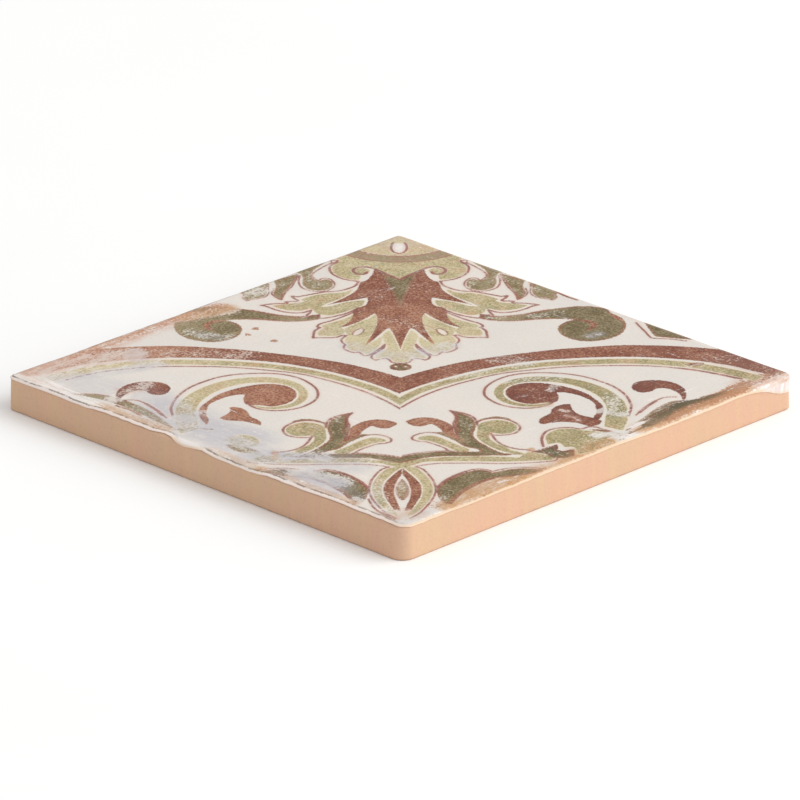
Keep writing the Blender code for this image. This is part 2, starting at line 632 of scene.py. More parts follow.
        pen.wear(Wash.HAZE, (
            (3.2, 0.8, [(52, 134), (54, 135.5)]), (3.2, 0.6, [(-50, 133), (-54, 135)]),
        ))
        pen.wear(Wash.WORN, (
            (2.6, 0.5, [(52, 134), (54, 136)]), (2.6, 0.3, [(24, 148), (32, 148)]),
            (3.4, 0.35, [(36, 149), (44, 151)]), (5.8, 0.75, [(-47, 154), (-60, 148.5)]),
            (4.6, 0.45, [(-48, 133.5), (-57, 137)]),
        ))
        pen.wash(Wash.TAN, [(-48, 154.5), (-58, 149)], 5.4, 0.85)
        pen.wash(Wash.PEACH, [(-50, 156), (-62, 146)], 4.5, 0.6)

    def edge_scroll_and_leaves(self) -> None:
        """Draws the small scroll and the two leaves that hang from each back side."""
        pen = self.canvas
        scroll = [
            Tip(20.3, 190.8), (21.6, 188), (23.6, 184.6), (24.4, 181.2), (24.2, 178.4),
            (23.4, 176.6), (22, 175.9), Tip(21.4, 176.6), (20.2, 177), (19, 176), (18.5, 174),
            (18.6, 171.6), (19.5, 169.8), (21, 168.7), (23, 168.5), (25.2, 169.6),
            (26.4, 171.8), (26.9, 174.6), (26.8, 178), (27.6, 181.2), Tip(29.6, 183),
        ]
        pen.fill(Paint.OLIVE, scroll, load=-0.5)
        pen.stroke(
            [(18.9, 189.6), (21.5, 186), (23.3, 183), (24.2, 180.5), (23.8, 178), (22.3, 176),
             (21.8, 177.2), (20.5, 177.9), (19, 176.8), (18.1, 174.5), (18, 172), (18.9, 169.8),
             (20.5, 168.2), (22.5, 167.8), (25, 168.5), (26.8, 170.3), (27.7, 173),
             (27.9, 176), (27.6, 180)],
            0.6,
        )
        leaf = [
            Tip(28, 181.5), (28.8, 177.5), (29.5, 174), (30.3, 171), (31.4, 167.8),
            (32.2, 164.5), Tip(32.5, 161.2), (33.3, 162), (34.5, 164.5), (34.9, 166.5),
            (34.5, 169), (34.2, 172), Tip(34.8, 176),
        ]
        pen.fill(Paint.OLIVE, leaf, load=-0.45)
        pen.stroke(
            [(28, 180.5), (28.6, 177.5), (29.3, 174), (30, 171), (31.2, 167.8), (32.1, 164.5),
             (32.5, 161.2)],
            0.6,
        )
        pen.stroke([Tip(32.5, 161.2), (33.3, 162), (34.8, 164.5), (35.3, 166.7), (34.8, 170)], 0.6)
        small = [
            Tip(36.3, 175), (36.7, 170), (36.6, 167), (37.2, 164.5), (38.6, 163),
            (40.5, 162.3), Tip(42.2, 161), (43, 163), (42.7, 165), Tip(44.2, 168),
        ]
        pen.fill(Paint.OLIVE, small, load=-0.6)
        pen.stroke(
            [(36.3, 173.5), (36.3, 170), (36.1, 167), (36.8, 164.3), (38.4, 162.6),
             (40.4, 161.8), Tip(42.2, 160.8), (43.3, 163), (43, 165.2), (43.8, 167)],
            0.55,
        )
        pen.stroke([(43.6, 166.8), (46, 163.6), (48.8, 161)], 0.9, Repeat.ONCE, Paint.RUST)
        pen.wear(Wash.WORN, (
            (2.2, 0.4, [(19, 171), (20, 175)]), (4, 0.3, [(-22, 172)]),
            (4.5, 0.36, [(-38, 168), (-42, 163)]), (6, 0.24, [(24, 182), (31, 172), (40, 168)]),
            (6, 0.3, [(-24, 182), (-31, 172), (-40, 168)]),
        ))
        pen.wear(Wash.BROWN, (
            (2.4, 0.5, [(14, 198), (44, 168)]), (2.4, 0.44, [(-14, 198), (-44, 168)]),
        ))

    def arches(self) -> None:
        """Draws the brown and green bands that meet in a point at the middle."""
        pen = self.canvas
        brown = [
            Tip(-5, 99.9), Tip(0, 104), (3, 106.5), (7, 109.3), (11, 112), (16, 114.9),
            (22, 117.5), (28, 119.8), (33, 121.4), (38, 123), (44, 124.6), (50, 125.7),
            (56, 126.8), (62, 127.3), (68, 127.1), (76, 126.3), (84, 124.6), (90, 122.5),
            Tip(100, 117.5), Tip(104.4, 107), Tip(100.6, 105.4), (95, 108.2), (90, 111.6),
            (85, 114), (80, 115.7), (74, 117.2), (68, 118.2), (62, 118.7), (56, 118.6),
            (50, 118.1), (44, 117.3), (38, 116.2), (33, 114.9), (28, 112.9), (23, 110.5),
            (18, 107.7), (13, 104.3), (9, 101.3), (5, 98), (2, 95.2), Tip(0, 93.2),
            Tip(-5, 88.2),
        ]
        pen.fill(Paint.RUST, brown)
        green = [
            Tip(-5, 84.3), Tip(0, 90.1), (3, 94), (6, 97.2), (10, 100.4), (15, 103.9),
            (20, 107.1), (25, 109.8), (30, 112), (35, 113.6), (40, 114.9), (50, 116.4),
            (60, 117), (70, 116.3), (80, 113.8), (90, 109), Tip(97, 104.2), Tip(95, 101.5),
            (90, 104.7), (80, 110.2), (70, 113), (60, 114), (50, 113.4), (40, 112.2),
            (35, 111), (30, 109.1), (25, 106.9), (20, 104.2), (15, 101.1), (10, 97.4),
            (6, 93.8), (3, 90.2), Tip(0, 85.6), Tip(-5, 78.4),
        ]
        pen.fill(Paint.GREEN, green, load=0.15)
        pen.stroke(
            [Tip(0, 82.8), (3.6, 88), (6.5, 91.6), (10, 95.1), (15, 99.2), (20, 102.6),
             (25, 105.8), (30, 107.9), (35, 109.2), (40, 110.5), (45, 111.5), (50, 112.1),
             (60, 112.4), (65, 112.2), (70, 111.6), (75, 110.3), (80, 108.7), (85, 106.2),
             (90, 103)],
            0.75,
        )
        pen.stroke([(75, 110.4), (80, 108.7), (85, 106.2), (91.6, 102.6)], 1.1, Repeat.ONCE)
        smudge = [(76.5, 112.8), (79.5, 114.4), (82, 114.1), (81, 112.4), (79.2, 111.6)]
        pen.fill(Paint.RUST, smudge, Repeat.ONCE, -0.2)
        pen.stroke([(86, 124.2), (94, 117.2), (101.6, 109.4)], 0.7, Repeat.ONCE, Paint.OLIVE)

        # The green band is heavy at its right end, and the brown has rubbed thin in places
        pen.load += 0.35 * ease(pen.across, 78.0, 94.0) * ease(pen.along, 98.0, 104.0)
        pen.load -= 0.35 * ease(pen.across, -44.0, -80.0) * ease(pen.along, 98.0, 104.0)
        pen.load -= 0.45 * ease(pen.across, -30.0, -70.0) * ease(pen.along, 98.0, 104.0)
        pen.wear(Wash.WORN, (
            (2.6, 0.45, [(78, 112.6), (81, 113.4)]), (6, 0.42, [(26, 118), (34, 116)]),
            (7, 0.1, [(-18, 110), (18, 110)]), (5, 0.16, [(68, 123), (90, 118)]),
            (6, 0.26, [(88, 116), (102, 105)]), (3.5, 0.9, [(103.5, 106.5), (106, 104)]),
            (9, 0.7, [(-104, 103), (-90, 114), (-78, 120)]),
            (3.6, 0.5, [(-71.5, 124), (-71, 117)]), (7, 0.36, [(-70, 122), (-40, 121)]),
            (3, 0.36, [(9, 99.4), (22, 107.5), (34, 112.3)]),
            (4.5, 0.5, [(-96, 102), (-66, 114)]), (3, 0.25, [(-66, 115), (-40, 112.8)]),
        ))
        pen.wear(Wash.PEACH, (
            (5.5, 0.4, [(84, 118), (99, 108)]), (7, 0.4, [(-94, 112), (-66, 122)]),
        ))
        pen.wear(Wash.HAZE, (
            (5, 0.45, [(-71.5, 122), (-70, 113)]), (4, 0.4, [(-94, 103), (-64, 113.5)]),
        ))

    def crescent_scroll(self) -> None:
        """Draws the light green crescent scroll with the brown blob in it."""
        pen = self.canvas
        pen.stroke(
            [(60.3, 76.5), (60.9, 80), (61.3, 83.5), (60.9, 87), (60.2, 90.5), (58.6, 94.5),
             (56.2, 98.3), (53, 101.5), (49.3, 104.4), (45, 106.3), (41, 107.1), (37, 107.3),
             (33, 106.8), (29.5, 105.4), (26.5, 103), (24.2, 100), (22.7, 96.8),
             (22.2, 93.3), (22.6, 90.3), (24, 87.5), (26, 85), (28.5, 83.2), (31.5, 82.2),
             (34.5, 82.1), (37.3, 83), (39.5, 84.7), (40.7, 86.7), (41.3, 88)],
            0.8,
        )
        green = [
            Tip(40, 86), (37.5, 84), (34, 83.4), (30.5, 84.2), (27.2, 86.8), (25.3, 91),
            (25.4, 95.5), (27.2, 99.5), (30.5, 102.5),
            (35, 104.2), (40, 104.2), (45, 103), (49.5, 100.6), (53.5, 97), (56.5, 93),
            (58.6, 88.5), (59.7, 84), (59.8, 79.5), Tip(59.8, 73.4), Tip(58.3, 66.6),
            Tip(53.9, 69.2), (54.5, 76), (54.9, 81), (54.4, 86), (52.8, 90.8), (50, 95), (46.5, 98.3),
            (42, 100.6), (37, 101.3), (32.5, 100.5), (29, 98.2), (27.3, 95), (27.3, 91),
            (28.8, 87.4), (31.5, 85.3), (35, 84.3), (37.5, 84.7),
        ]
        pen.fill(Paint.GREEN, green, load=0.2)
        pen.load += 0.35 * ease(np.hypot(pen.across - 44, pen.along - 92), 26.0, 14.0)
        pen.load -= 0.35 * ease(np.hypot(pen.across + 44, pen.along - 92), 26.0, 14.0)
        blob = [
            (28, 92), (28.3, 95.5), (30.3, 98.4), (33.5, 99.9), (37, 100), (40, 99.2),
            (43, 97.8), (46.5, 95.5), (49.8, 92), (52, 88), (53.5, 84.5), (53.9, 81),
            (53.4, 77), Tip(51.6, 72), (51, 75.5), (51.8, 78.5), (51.8, 82), (51.3, 86),
            (49.4, 89), (46.7, 91.6),
            (44, 93), Tip(41.7, 93.3), (42.1, 90.5), (41.9, 88), (41, 86.3), (37.5, 85.8),
            (34.5, 85), (31.5, 86.2), (29.3, 88.5),
        ]
        pen.fill(Paint.RUST, blob)
        pen.stroke([(-60, 67.4), (-56, 68.4), (-50, 67.6)], 0.6, Repeat.ONCE, Paint.OLIVE)
        pen.stroke([(51, 69), (53, 67.5), (55.5, 65.8)], 0.6, Repeat.ONCE)
        pen.wear(Wash.WORN, (
            (3.6, 0.46, [(29, 101), (42, 104)]), (2.8, 0.6, [(40.5, 95), (41.5, 98)]),
            (7, 0.2, [(37, 92)]), (1.8, 0.75, [(51.6, 79.6), (53.4, 81)]),
            (2.6, 0.3, [(53.5, 78.5), (60.5, 77)]), (5, 0.5, [(56.5, 90), (57.5, 79)]),
            (5.4, 0.5, [(-59, 88), (-57, 76)]), (6, 0.55, [(-58, 74), (-56, 68)]),
            (3.4, 0.45, [(-53, 79)]),
        ))
        pen.wash(Wash.TAN, [(36, 84), (39, 84.5)], 2.4, 0.6)

    def hearts_and_commas(self) -> None:
        """Draws the brown heart under each crescent and the brown comma outside it."""
        pen = self.canvas
        right = [
            Tip(45, 85), (43.5, 84.8), (41.5, 83.5), (40, 81), (39.6, 78.5), (38, 76.5),
            (36.8, 74.5), (36.4, 72.5), Tip(36.8, 70.9), (38, 70.9), (40, 71.8),
            (42.5, 72.4), (45, 72), (47, 71.3), Tip(50, 68.9), (52.2, 70.4), Tip(53.4, 73),
            (51.4, 74.6), (49.8, 75.8), (47.8, 77), (46.3, 79), (45.5, 81.5),
        ]
        pen.fill(Paint.RUST, right, Repeat.ONCE)
        for spot in ([(43.8, 76.6), (46.2, 75.4)], [(42.4, 80.6), (44.2, 79.8)], [(47, 73.6)]):
            pen.wash(Wash.WORN, spot, 1.4, 0.7)
            pen.wash(Wash.PEACH, spot, 1.9, 0.9)
        left = [
            Tip(-45.7, 83.3), (-43.5, 83), (-41.7, 81.5), (-40.6, 79), (-40, 76.5),
            (-38.3, 74.5), (-37.2, 72.3), Tip(-37.3, 70.3), (-39, 71.5), (-41.5, 73),
            (-44, 73.6), (-46.5, 74), Tip(-48.3, 75.5), (-47.3, 77), (-46.2, 78.5),
            (-45.5, 80.5),
        ]
        pen.fill(Paint.RUST, left, Repeat.ONCE, -0.2)
        comma = [
            (61.8, 96.5), (62, 98.5), (63.5, 100.6), (66, 101.6), (69, 101.8), (72, 100.8),
            (74.5, 98.5), (75.9, 95.5), (76.3, 92), (76, 88.5), Tip(75.3, 86.8), (74.7, 91),
            (73.8, 93.2), (72, 95.3), (70, 96.1), (68.3, 95.6), (67.5, 94.3), (66.3, 93.4),
            (64.3, 93), (62.6, 94.2),
        ]
        pen.fill(Paint.RUST, comma, load=0.4)
        pen.wear(Wash.WORN, (
            (4.4, 0.6, [(-69, 99), (-76, 90)]), (3.6, 0.3, [(-64, 96)]),
        ))
        pen.wash(Wash.PEACH, [(-66, 98), (-74, 95)], 4.4, 0.4)

    def palmette(self) -> None:
        """Draws the olive and green leaves that stand in the middle of the lower half."""
        pen = self.canvas
        pen.stroke(
            [(20, 70), (20.3, 72.5), (22.5, 74.4), (25, 75), (27.5, 74.4), (29.7, 72.5),
             (31.1, 70), (31.3, 67.5), (30.3, 65), (28.3, 63.6), (26, 63.2), Tip(24, 63.3)],
            0.75,
        )
        pen.stroke(
            [Tip(23.6, 64.5), (24.2, 62), (24.9, 59.5), (26, 57.3), (28, 55), (30.5, 53.6),
             (33, 53), (35, 52)],
            0.75,
        )
        curl = [
            (20.6, 70.4), (22.3, 72.4), (25.4, 73.5), (28.3, 72.4), (30.2, 69.8), (30.1, 67),
            (28.4, 64.8), (25.6, 64.5), Tip(23.4, 65.3), (22.8, 62), (23.5, 59.5), (25, 57),
            (27, 55.2), (28.5, 52.8), (31, 51.2), Tip(32, 50), (31.5, 49.7), (29, 50.8),
            (26, 52.8), (23.5, 55.5), (21.5, 58.5), (20.2, 62), (20.2, 66),
        ]
        pen.fill(Paint.GREEN, curl, load=0.3)
        cap = [
            Tip(19.4, 71.5), (20.5, 73.8), (22.8, 75.6), (25.4, 76.2), (28, 75.4), Tip(29.2, 74),
            (27.2, 74.6), (24.6, 74.9), (22, 74), (20.4, 72.4), Tip(19.8, 70.4),
        ]
        pen.fill(Paint.OLIVE, cap, load=-0.3)
        calyx = [
            Tip(13.2, 80.2), (15, 79.2), (17, 77.6), (18.6, 75.5), (19.4, 73), (19.7, 70),
            (19.4, 67), (18.9, 63.5), (19.6, 60.5), (21.5, 57), (24, 53.5), (26.5, 51),
            Tip(29.3, 49.5), (27, 49.2), (23, 49.3), (21, 50), (20.5, 52.5), (19.5, 53.7),
            (17, 55), (15.5, 57), (13.5, 60), (11, 62.8), (9, 64.5), Tip(7, 65), (10.5, 65.4),
            (12.6, 63.6), Tip(14.4, 62), (13.9, 65), (14.1, 69), (13.9, 71.5), (14.4, 75),
            (14.2, 77.5),
        ]
        pen.fill(Paint.OLIVE, calyx)
        pen.stroke(
            [Tip(13, 80.4), (14.2, 77.5), (14.4, 75), (13.8, 71.5), (13.9, 69), (14.5, 65),
             (15, 62)],
            0.7,
        )
        pen.stroke([Tip(13, 80.4), (17, 78.2), (19.2, 75.4), (20, 72)], 0.8)
        pen.stroke([(14.6, 78.4), (14.9, 72), (15.4, 66)], 0.5, paint=Paint.RUST)
        tendril = [
            Tip(1, 72.8), (2.2, 74.2), (4.5, 75.5), (7, 75.7), (9.5, 74.7), (11.8, 72.5),
            (13.6, 69.6), (13.8, 67), (14.1, 64.4), (15.2, 61.5), Tip(17.5, 58), (14, 61),
            (12.5, 63), (11, 65), (10.5, 67), (9.5, 69), (8.3, 70.8), (7.5, 71), (6.2, 69.9),
            (4.5, 69.4), (3, 69.9), (1.8, 71.3),
        ]
        pen.fill(Paint.RUST, tendril, load=-0.35)
        leaf = [
            (4.3, 61), (5.5, 62.3), (7.8, 62.8), (10, 61.5), (12, 59.3), (14, 57), (16, 55),
            Tip(17.7, 53.3), (16.8, 52), (15.5, 52), (14.2, 52.8), (12.5, 54.8), (10, 57.3),
            (7.5, 59.5), (5.3, 60.2),
        ]
        pen.fill(Paint.GREEN, leaf, load=0.15)
        pen.stroke([Tip(3, 60), (2.7, 61.5), (3.3, 63), (4.8, 64.4), (7, 65.2), (10, 64.6)], 0.7)
        pen.stroke(
            [Tip(3, 60), (4.7, 59), (6.2, 58.8), (8, 57.5), (10.3, 55.5), (12, 53.3), (13, 51.7)],
            0.7,
        )
        pen.wear(Wash.WORN, (
            (3.6, 0.26, [(17, 76), (16.6, 66)]), (3.6, 0.26, [(-17, 76), (-16.6, 66)]),
        ))

    def lower_bands(self) -> None:
        """Draws the two bands that the palmette stands on."""
        pen = self.canvas
        dark = [
            Tip(-4, 48.4), Tip(0, 48.8), (2.5, 50), (6, 51.2), (10, 52.1), (13, 52.1),
            (16.5, 51.9), Tip(20.5, 52), Tip(31, 49.9), (20, 48.9), (15, 48.9), (11, 48.7),
            (7, 48), (3.5, 46.3), Tip(0, 44.5), Tip(-4, 43.2),
        ]
        pen.fill(Paint.OLIVE, dark)
        pen.stroke([Tip(0, 49.2), (3, 50.6), (7, 51.9), (11, 52.5), (15, 52.3)], 0.6)
        green = [
            Tip(-4, 43.4), Tip(0, 44.3), (4, 46.4), (10, 47.9), (15, 48.3), (22, 48.4),
            Tip(31, 47.5), Tip(32, 50), (33.5, 51), (36, 50.3), (38.5, 49), (40, 47.8),
            (39, 46.3), (36, 46), (28, 45.3), (20, 45.5), (12, 45.6), (6, 45.2),
            Tip(3.2, 43.2), Tip(0, 41.3), Tip(-4, 41.3),
        ]
        pen.fill(Paint.GREEN, green, load=0.1)
        pen.stroke(
            [Tip(3.4, 41.9), (6.5, 43.1), (10, 43.9), (15, 44), (20, 44), (25, 43.7), (30, 43.8),
             (34, 44.3), (38, 45), (40.3, 45.8), (40.8, 47.5)],
            0.65,
        )
        pen.wear(Wash.TAN, (
            (1.5, 1, [(34, 48.6), (34, 53.4)]), (1.4, 0.7, [(-33.3, 47), (-33.3, 52)]),
        ))
        pen.wash(Wash.BROWN, [(34, 50), (34, 53)], 1.0, 0.5)
        pen.wear(Wash.WORN, (
            (6.5, 0.62, [(-40, 47.5), (-22, 49)]), (3.5, 0.4, [(-20, 46), (-8, 46)]),
        ))
        pen.wash(Wash.HAZE, [(-40, 48), (-14, 47)], 6.0, 0.7)

    def round_leaf(self) -> None:
        """Draws the round leaf at the right end of the bands. Its fellow has worn away."""
        pen = self.canvas
        outline = [
            (37.2, 55.2), (36.9, 60), (37.4, 63.5), (38.5, 66), (41, 67.9), (44.5, 68.4),
            (47.5, 67.4), (49.5, 68.8), (52, 68.6),
        ]
        pen.stroke(outline, 0.85, Repeat.ONCE)
        body = [
            Tip(38.6, 57), (38.2, 61), (39, 64.3), (41.2, 66.7), (44.5, 67.4), (48, 66.2),
            (51.5, 65.4), Tip(55.5, 62.5), (53.8, 60.6), Tip(56.2, 58.6), (53, 55),
            (50.4, 52.6), Tip(46.6, 50.4), (46.2, 53), (45.4, 55.2), (43, 55.2), (42.2, 57.4),
            (40.6, 58),
        ]
        pen.fill(Paint.GREEN, body, Repeat.ONCE, 0.35)
        scratches = (
            [(52, 64), (55.4, 65.6)], [(54, 61.6), (57.6, 63.4)], [(57.4, 59.8), (59, 60.4)],
        )
        for scratch in scratches:
            pen.stroke(scratch, 0.5, Repeat.ONCE, Paint.OLIVE)
        thorn = [
            Tip(34.3, 51.5), (37.4, 53.5), Tip(40.6, 56), (40.6, 53.6), (42.6, 52.2),
            Tip(44.9, 53), (44.7, 50.8), Tip(45, 48.8), (42.4, 47.4), (39.3, 47.9), (37.6, 50.2),
        ]
        pen.fill(Paint.OLIVE, thorn, Repeat.ONCE, 0.4)
        pen.stroke([Tip(34.3, 51.5), (37.6, 54), Tip(40.6, 56.2)], 0.6, Repeat.ONCE, Paint.RUST)
        pen.stroke([Tip(40.6, 56.2), (40.7, 53.8)], 0.9, Repeat.ONCE, Paint.RUST)
        hook = [(42.2, 51.6), Tip(44.9, 52.9), (44.8, 50.8), Tip(45, 49.4)]
        pen.stroke(hook, 0.8, Repeat.ONCE, Paint.RUST)
        # A dark olive scribble in the print, over the leaf's lower right edge
        dark_scribble = [Tip(49, 67), (53, 67), (57.5, 64.6), Tip(60.5, 62), (57, 63.4), (53, 65.4)]
        pen.fill(Paint.OLIVE, dark_scribble, Repeat.ONCE)

        worn_leaf = [(-38.5, 56), (-38, 60), (-40, 62.8), (-43.5, 63.4), (-46.4, 60.6), (-44, 57)]
        pen.fill(Paint.GREEN, worn_leaf, Repeat.ONCE, -0.2)
        pen.fill(Paint.OLIVE, [(-37, 51.6), (-41.8, 56), (-46.4, 57), (-42.6, 51.8)], Repeat.ONCE, -0.3)
        pen.wash(Wash.TAN, [(49.6, 54.6), (54.4, 58.2)], 4.0, 0.9)
        pen.wear(Wash.WORN, (
            (3.4, 0.6, [(48.6, 53.4), (54.6, 58.4)]), (3, 0.7, [(51.5, 63), (58, 64.4)]),
            (3, 0.25, [(38, 51), (43, 50.5)]), (4.5, 0.3, [(50, 61)]),
            (6, 0.48, [(-38, 54), (-47, 61)]),
        ))

    def teardrop(self) -> None:
        """Draws the teardrop at the front corner, ring inside ring."""
        pen = self.canvas
        pen.stroke(
            [Tip(3.4, 41.8), (5.2, 40.2), (6.3, 38), (7.3, 35), (8.1, 32), (8.5, 29), (8.7, 26),
             (8.4, 23), (7.8, 20), (6.9, 17), (5.6, 13.5), (4, 10), (1.8, 7)],
            0.7,
        )
        ring = [
            Tip(0.4, 42), (3.4, 40.8), (4.9, 38.2), (6.2, 35), (7.2, 31.6), (7.7, 27.6), (7.5, 23.6),
            (6.8, 19.6), (5.4, 15.4), (3.6, 11.4), Tip(1.4, 8.6), (1.8, 10.6), Tip(3.2, 14),
            (4.6, 18.6), (5.4, 23), (5.5, 28), (4.7, 32.4), (2.8, 37), Tip(0.9, 40.6),
        ]
        pen.fill(Paint.GREEN, ring, load=-0.1)
        brown = [
            Tip(0.1, 41), (1.7, 37.5), (3.3, 34), (4.6, 30), (5, 26), (4.7, 22), (3.9, 18.5),
            Tip(2.3, 12.8), Tip(0.5, 12), (1.1, 16), (1.8, 20), (2.2, 24), (2, 28), (1.4, 32),
            Tip(0.1, 36.4),
        ]
        pen.fill(Paint.RUST, brown, load=-0.15)
        core = [
            Tip(-3, 33), Tip(0, 33), (0.9, 30), (1.5, 26.5), (1.3, 23), (0.6, 20.3), Tip(0, 19.3),
            Tip(-3, 19.3),
        ]
        pen.fill(Paint.OLIVE, core, load=-0.55)
        pen.stroke([(-8.9, 20), (-7.4, 14), (-4.8, 9.6), (-2.2, 6.4)], 0.7, Repeat.ONCE)
        pen.stroke([Tip(0, 33.2), (1, 30), (1.6, 26.5), (1.4, 23), (0.7, 20.3), Tip(0, 19)], 0.4)
        pen.wear(Wash.WORN, (
            (2.4, 0.36, [(0, 22), (0, 31)]), (6, 0.4, [(0, 3), (0, 11)]),
            (3.6, 0.42, [(-6.5, 34), (-6, 24), (-4.6, 12)]),
        ))
        pen.wear(Wash.PEACH, (
            (1.8, 0.6, [(0.6, 22), (-0.6, 30)]), (3, 0.5, [(-1, 12), (2, 12)]),
        ))
        pen.wash(Wash.HAZE, [(-7, 30), (-6.4, 16)], 2.6, 0.5)

    def front_leaf(self) -> None:
        """Draws the olive leaf at each side of the teardrop, over a tan ground."""
        pen = self.canvas
        leaf = [
            Tip(8.8, 24.5), (9, 27), (10, 30), (12, 33), (14.5, 35.8), (17, 38), (19, 39.2),
            (21, 39.3), (22.7, 38.5), Tip(23.5, 37.5), (25, 38.3), (27.5, 39.5), (30, 40.2),
            (32.5, 40.3), Tip(37, 39.6), (33, 36.5), (28, 34.8), (24.5, 34), (21, 31.8),
            (18, 28.5), (15.5, 24.5), (13.5, 20), Tip(12, 16.4), (10.4, 17.6), (9.3, 21),
        ]
        pen.fill(Paint.OLIVE, leaf)
        pen.stroke(
            [Tip(8.7, 26.4), (10.3, 31), (13.5, 35.6), (17, 38.8), (20, 40), (22.6, 39.2),
             Tip(23.4, 38.2), (26, 39.7), (30, 41), (33.6, 41), Tip(37.6, 40)],
            0.7,
        )
        inner = [Tip(12.4, 17), (13.7, 20.5), (15.2, 24), (17.2, 27), (20.4, 31), (24, 34)]
        pen.stroke(inner, 1.1, paint=Paint.RUST)
        pen.stroke([(9.4, 28), (13.2, 34.6), (17, 38.2)], 0.8, paint=Paint.RUST)
        pen.stroke([(24, 34), (28, 35), (33, 36.8), (36.5, 38.6)], 0.6, paint=Paint.RUST)
        pen.stroke([(-14, 14.8), (-9, 10.4), (-4, 6)], 1.2, Repeat.ONCE, Paint.OLIVE)
        pen.wear(Wash.TAN, (
            (6.5, 0.95, [(13, 15.5), (24, 26.5), (37, 38.5)]),
            (3, 0.5, [(16, 25), (22, 30.5), (30, 33.5)]),
            (4, 0.6, [(-14, 17), (-24, 27), (-36, 39)]),
        ))
        pen.wear(Wash.SCRAPED, (
            (1.4, 0.3, [(19, 26), (24, 30.5), (31, 33)]), (3.4, 0.35, [(-17, 20), (-27, 31)]),
        ))
        pen.wear(Wash.HAZE, (
            (5.5, 0.8, [(-18, 26), (-32, 38)]), (5, 0.5, [(-24, 37), (-15, 29)]),
            (4, 0.4, [(-18, 32), (-12, 22)]),
        ))
        pen.wear(Wash.WORN, (
            (7, 0.55, [(-17, 33), (-26, 36)]), (5, 0.4, [(-27, 37), (-38, 40)]),
            (5, 0.38, [(-19, 27), (-11, 16)]), (3.4, 0.4, [(-12, 18), (-9.6, 23)]),
            (5, 0.34, [(-24, 37.4), (-15, 30)]), (2, 0.4, [(-13, 14), (-4, 6)]),
            (3.5, 0.3, [(10, 18), (12, 24)]),
        ))
        pen.wash(Wash.BROWN, [(7.5, 15.5), (12.5, 19.5)], 3.4, 0.34)

    def side_leaves(self) -> None:
        """Draws what is left of the leaves that run along the two front sides."""
        pen = self.canvas
        pen.stroke([(62.3, 77), (64, 80.5), (66.5, 85), (69, 88.3), (71, 89.6), (73.5, 89.8)], 0.6)
        pen.stroke([(63.4, 79), (65.4, 83), (68, 87)], 1.1)
        right = [
            Tip(63.5, 70.5), (67, 76), (70.4, 80.6), (73.1, 84.8), (76.5, 87.2), (80.5, 89),
            Tip(86, 92), (80.5, 87), (76.5, 84), (73.1, 80.4), (70.4, 75.6), (67.4, 70.8),
            Tip(63.8, 67.6),
        ]
        pen.fill(Paint.OLIVE, right, Repeat.ONCE, 0.9)
        pen.stroke([Tip(80, 89.4), (85, 92.4), (89, 96.2), Tip(92.6, 100)], 0.6, Repeat.ONCE, Paint.OLIVE)

        # Its upper half is scratched down to a few dark streaks
        scratched = [
            Tip(61, 69.5), (64.4, 75.6), (67.3, 80.8), (70.2, 84.8), (72.8, 87), Tip(76.4, 87.6),
            (73.1, 84.8), (70.4, 80.6), (67, 76), Tip(63.5, 70.5),
        ]
        pen.fill(Paint.OLIVE, scratched, Repeat.ONCE, -0.1)
        scratches = (
            [(60, 64), (66, 70.5)], [(59.4, 66.4), (63.4, 71.4)], [(62, 66.6), (65, 69.6)],
            [(57.4, 62.6), (60.6, 65.6)], [(61, 68.4), (63.6, 72.6)], [(53.4, 62), (55, 63.4)],
        )
        for scratch in scratches:
            pen.stroke(scratch, 0.6, Repeat.ONCE, Paint.OLIVE)
        left = [
            Tip(-87, 92.6), (-82, 92.5), (-78, 90.8), (-73, 87.4), (-69, 83.4), (-65.5, 78.4),
            (-61.6, 71.6), Tip(-60, 68), (-64.5, 72.6), (-69.5, 78.6), (-75, 84.6), (-80, 88.6),
        ]
        pen.fill(Paint.OLIVE, left, Repeat.ONCE, -0.7)
        pen.stroke([Tip(-87, 92.8), (-82, 92.6), (-78, 91), (-73.5, 87.8)], 0.7, Repeat.ONCE)
        pen.stroke([(-76, 84.4), (-72, 81), (-69, 77)], 0.8, Repeat.ONCE, Paint.RUST)
        triangle = [
            Tip(66.4, 146.6), (67.4, 141.4), (68.4, 137), Tip(69.3, 133.6), (74, 132.4), Tip(80, 131),
        ]
        pen.fill(Paint.OLIVE, triangle, Repeat.ONCE, 0.1)
        pen.stroke(
            [(64.5, 143.9), (65.5, 140.8), (66.7, 137.5), (67.6, 134.5), Tip(68.4, 132.4),
             (71, 132), (74, 131.5), (77.8, 130.2)],
            0.7,
            Repeat.ONCE,
        )
        band_end = [Tip(-31, 43.6), (-36, 47), (-41.6, 52), Tip(-46, 57), Tip(-42, 56)]
        pen.fill(Paint.GREEN, band_end, Repeat.ONCE)
        pen.wear(Wash.WORN, (
            (2.6, 0.2, [(62, 70.5), (66, 77.5), (69.4, 82.6), (72.6, 86.2)]),
            (3.4, 0.2, [(66, 71), (72, 78.6), (82, 88)]),
            (4.5, 0.4, [(-78, 88), (-70, 81), (-62, 70)]),
        ))


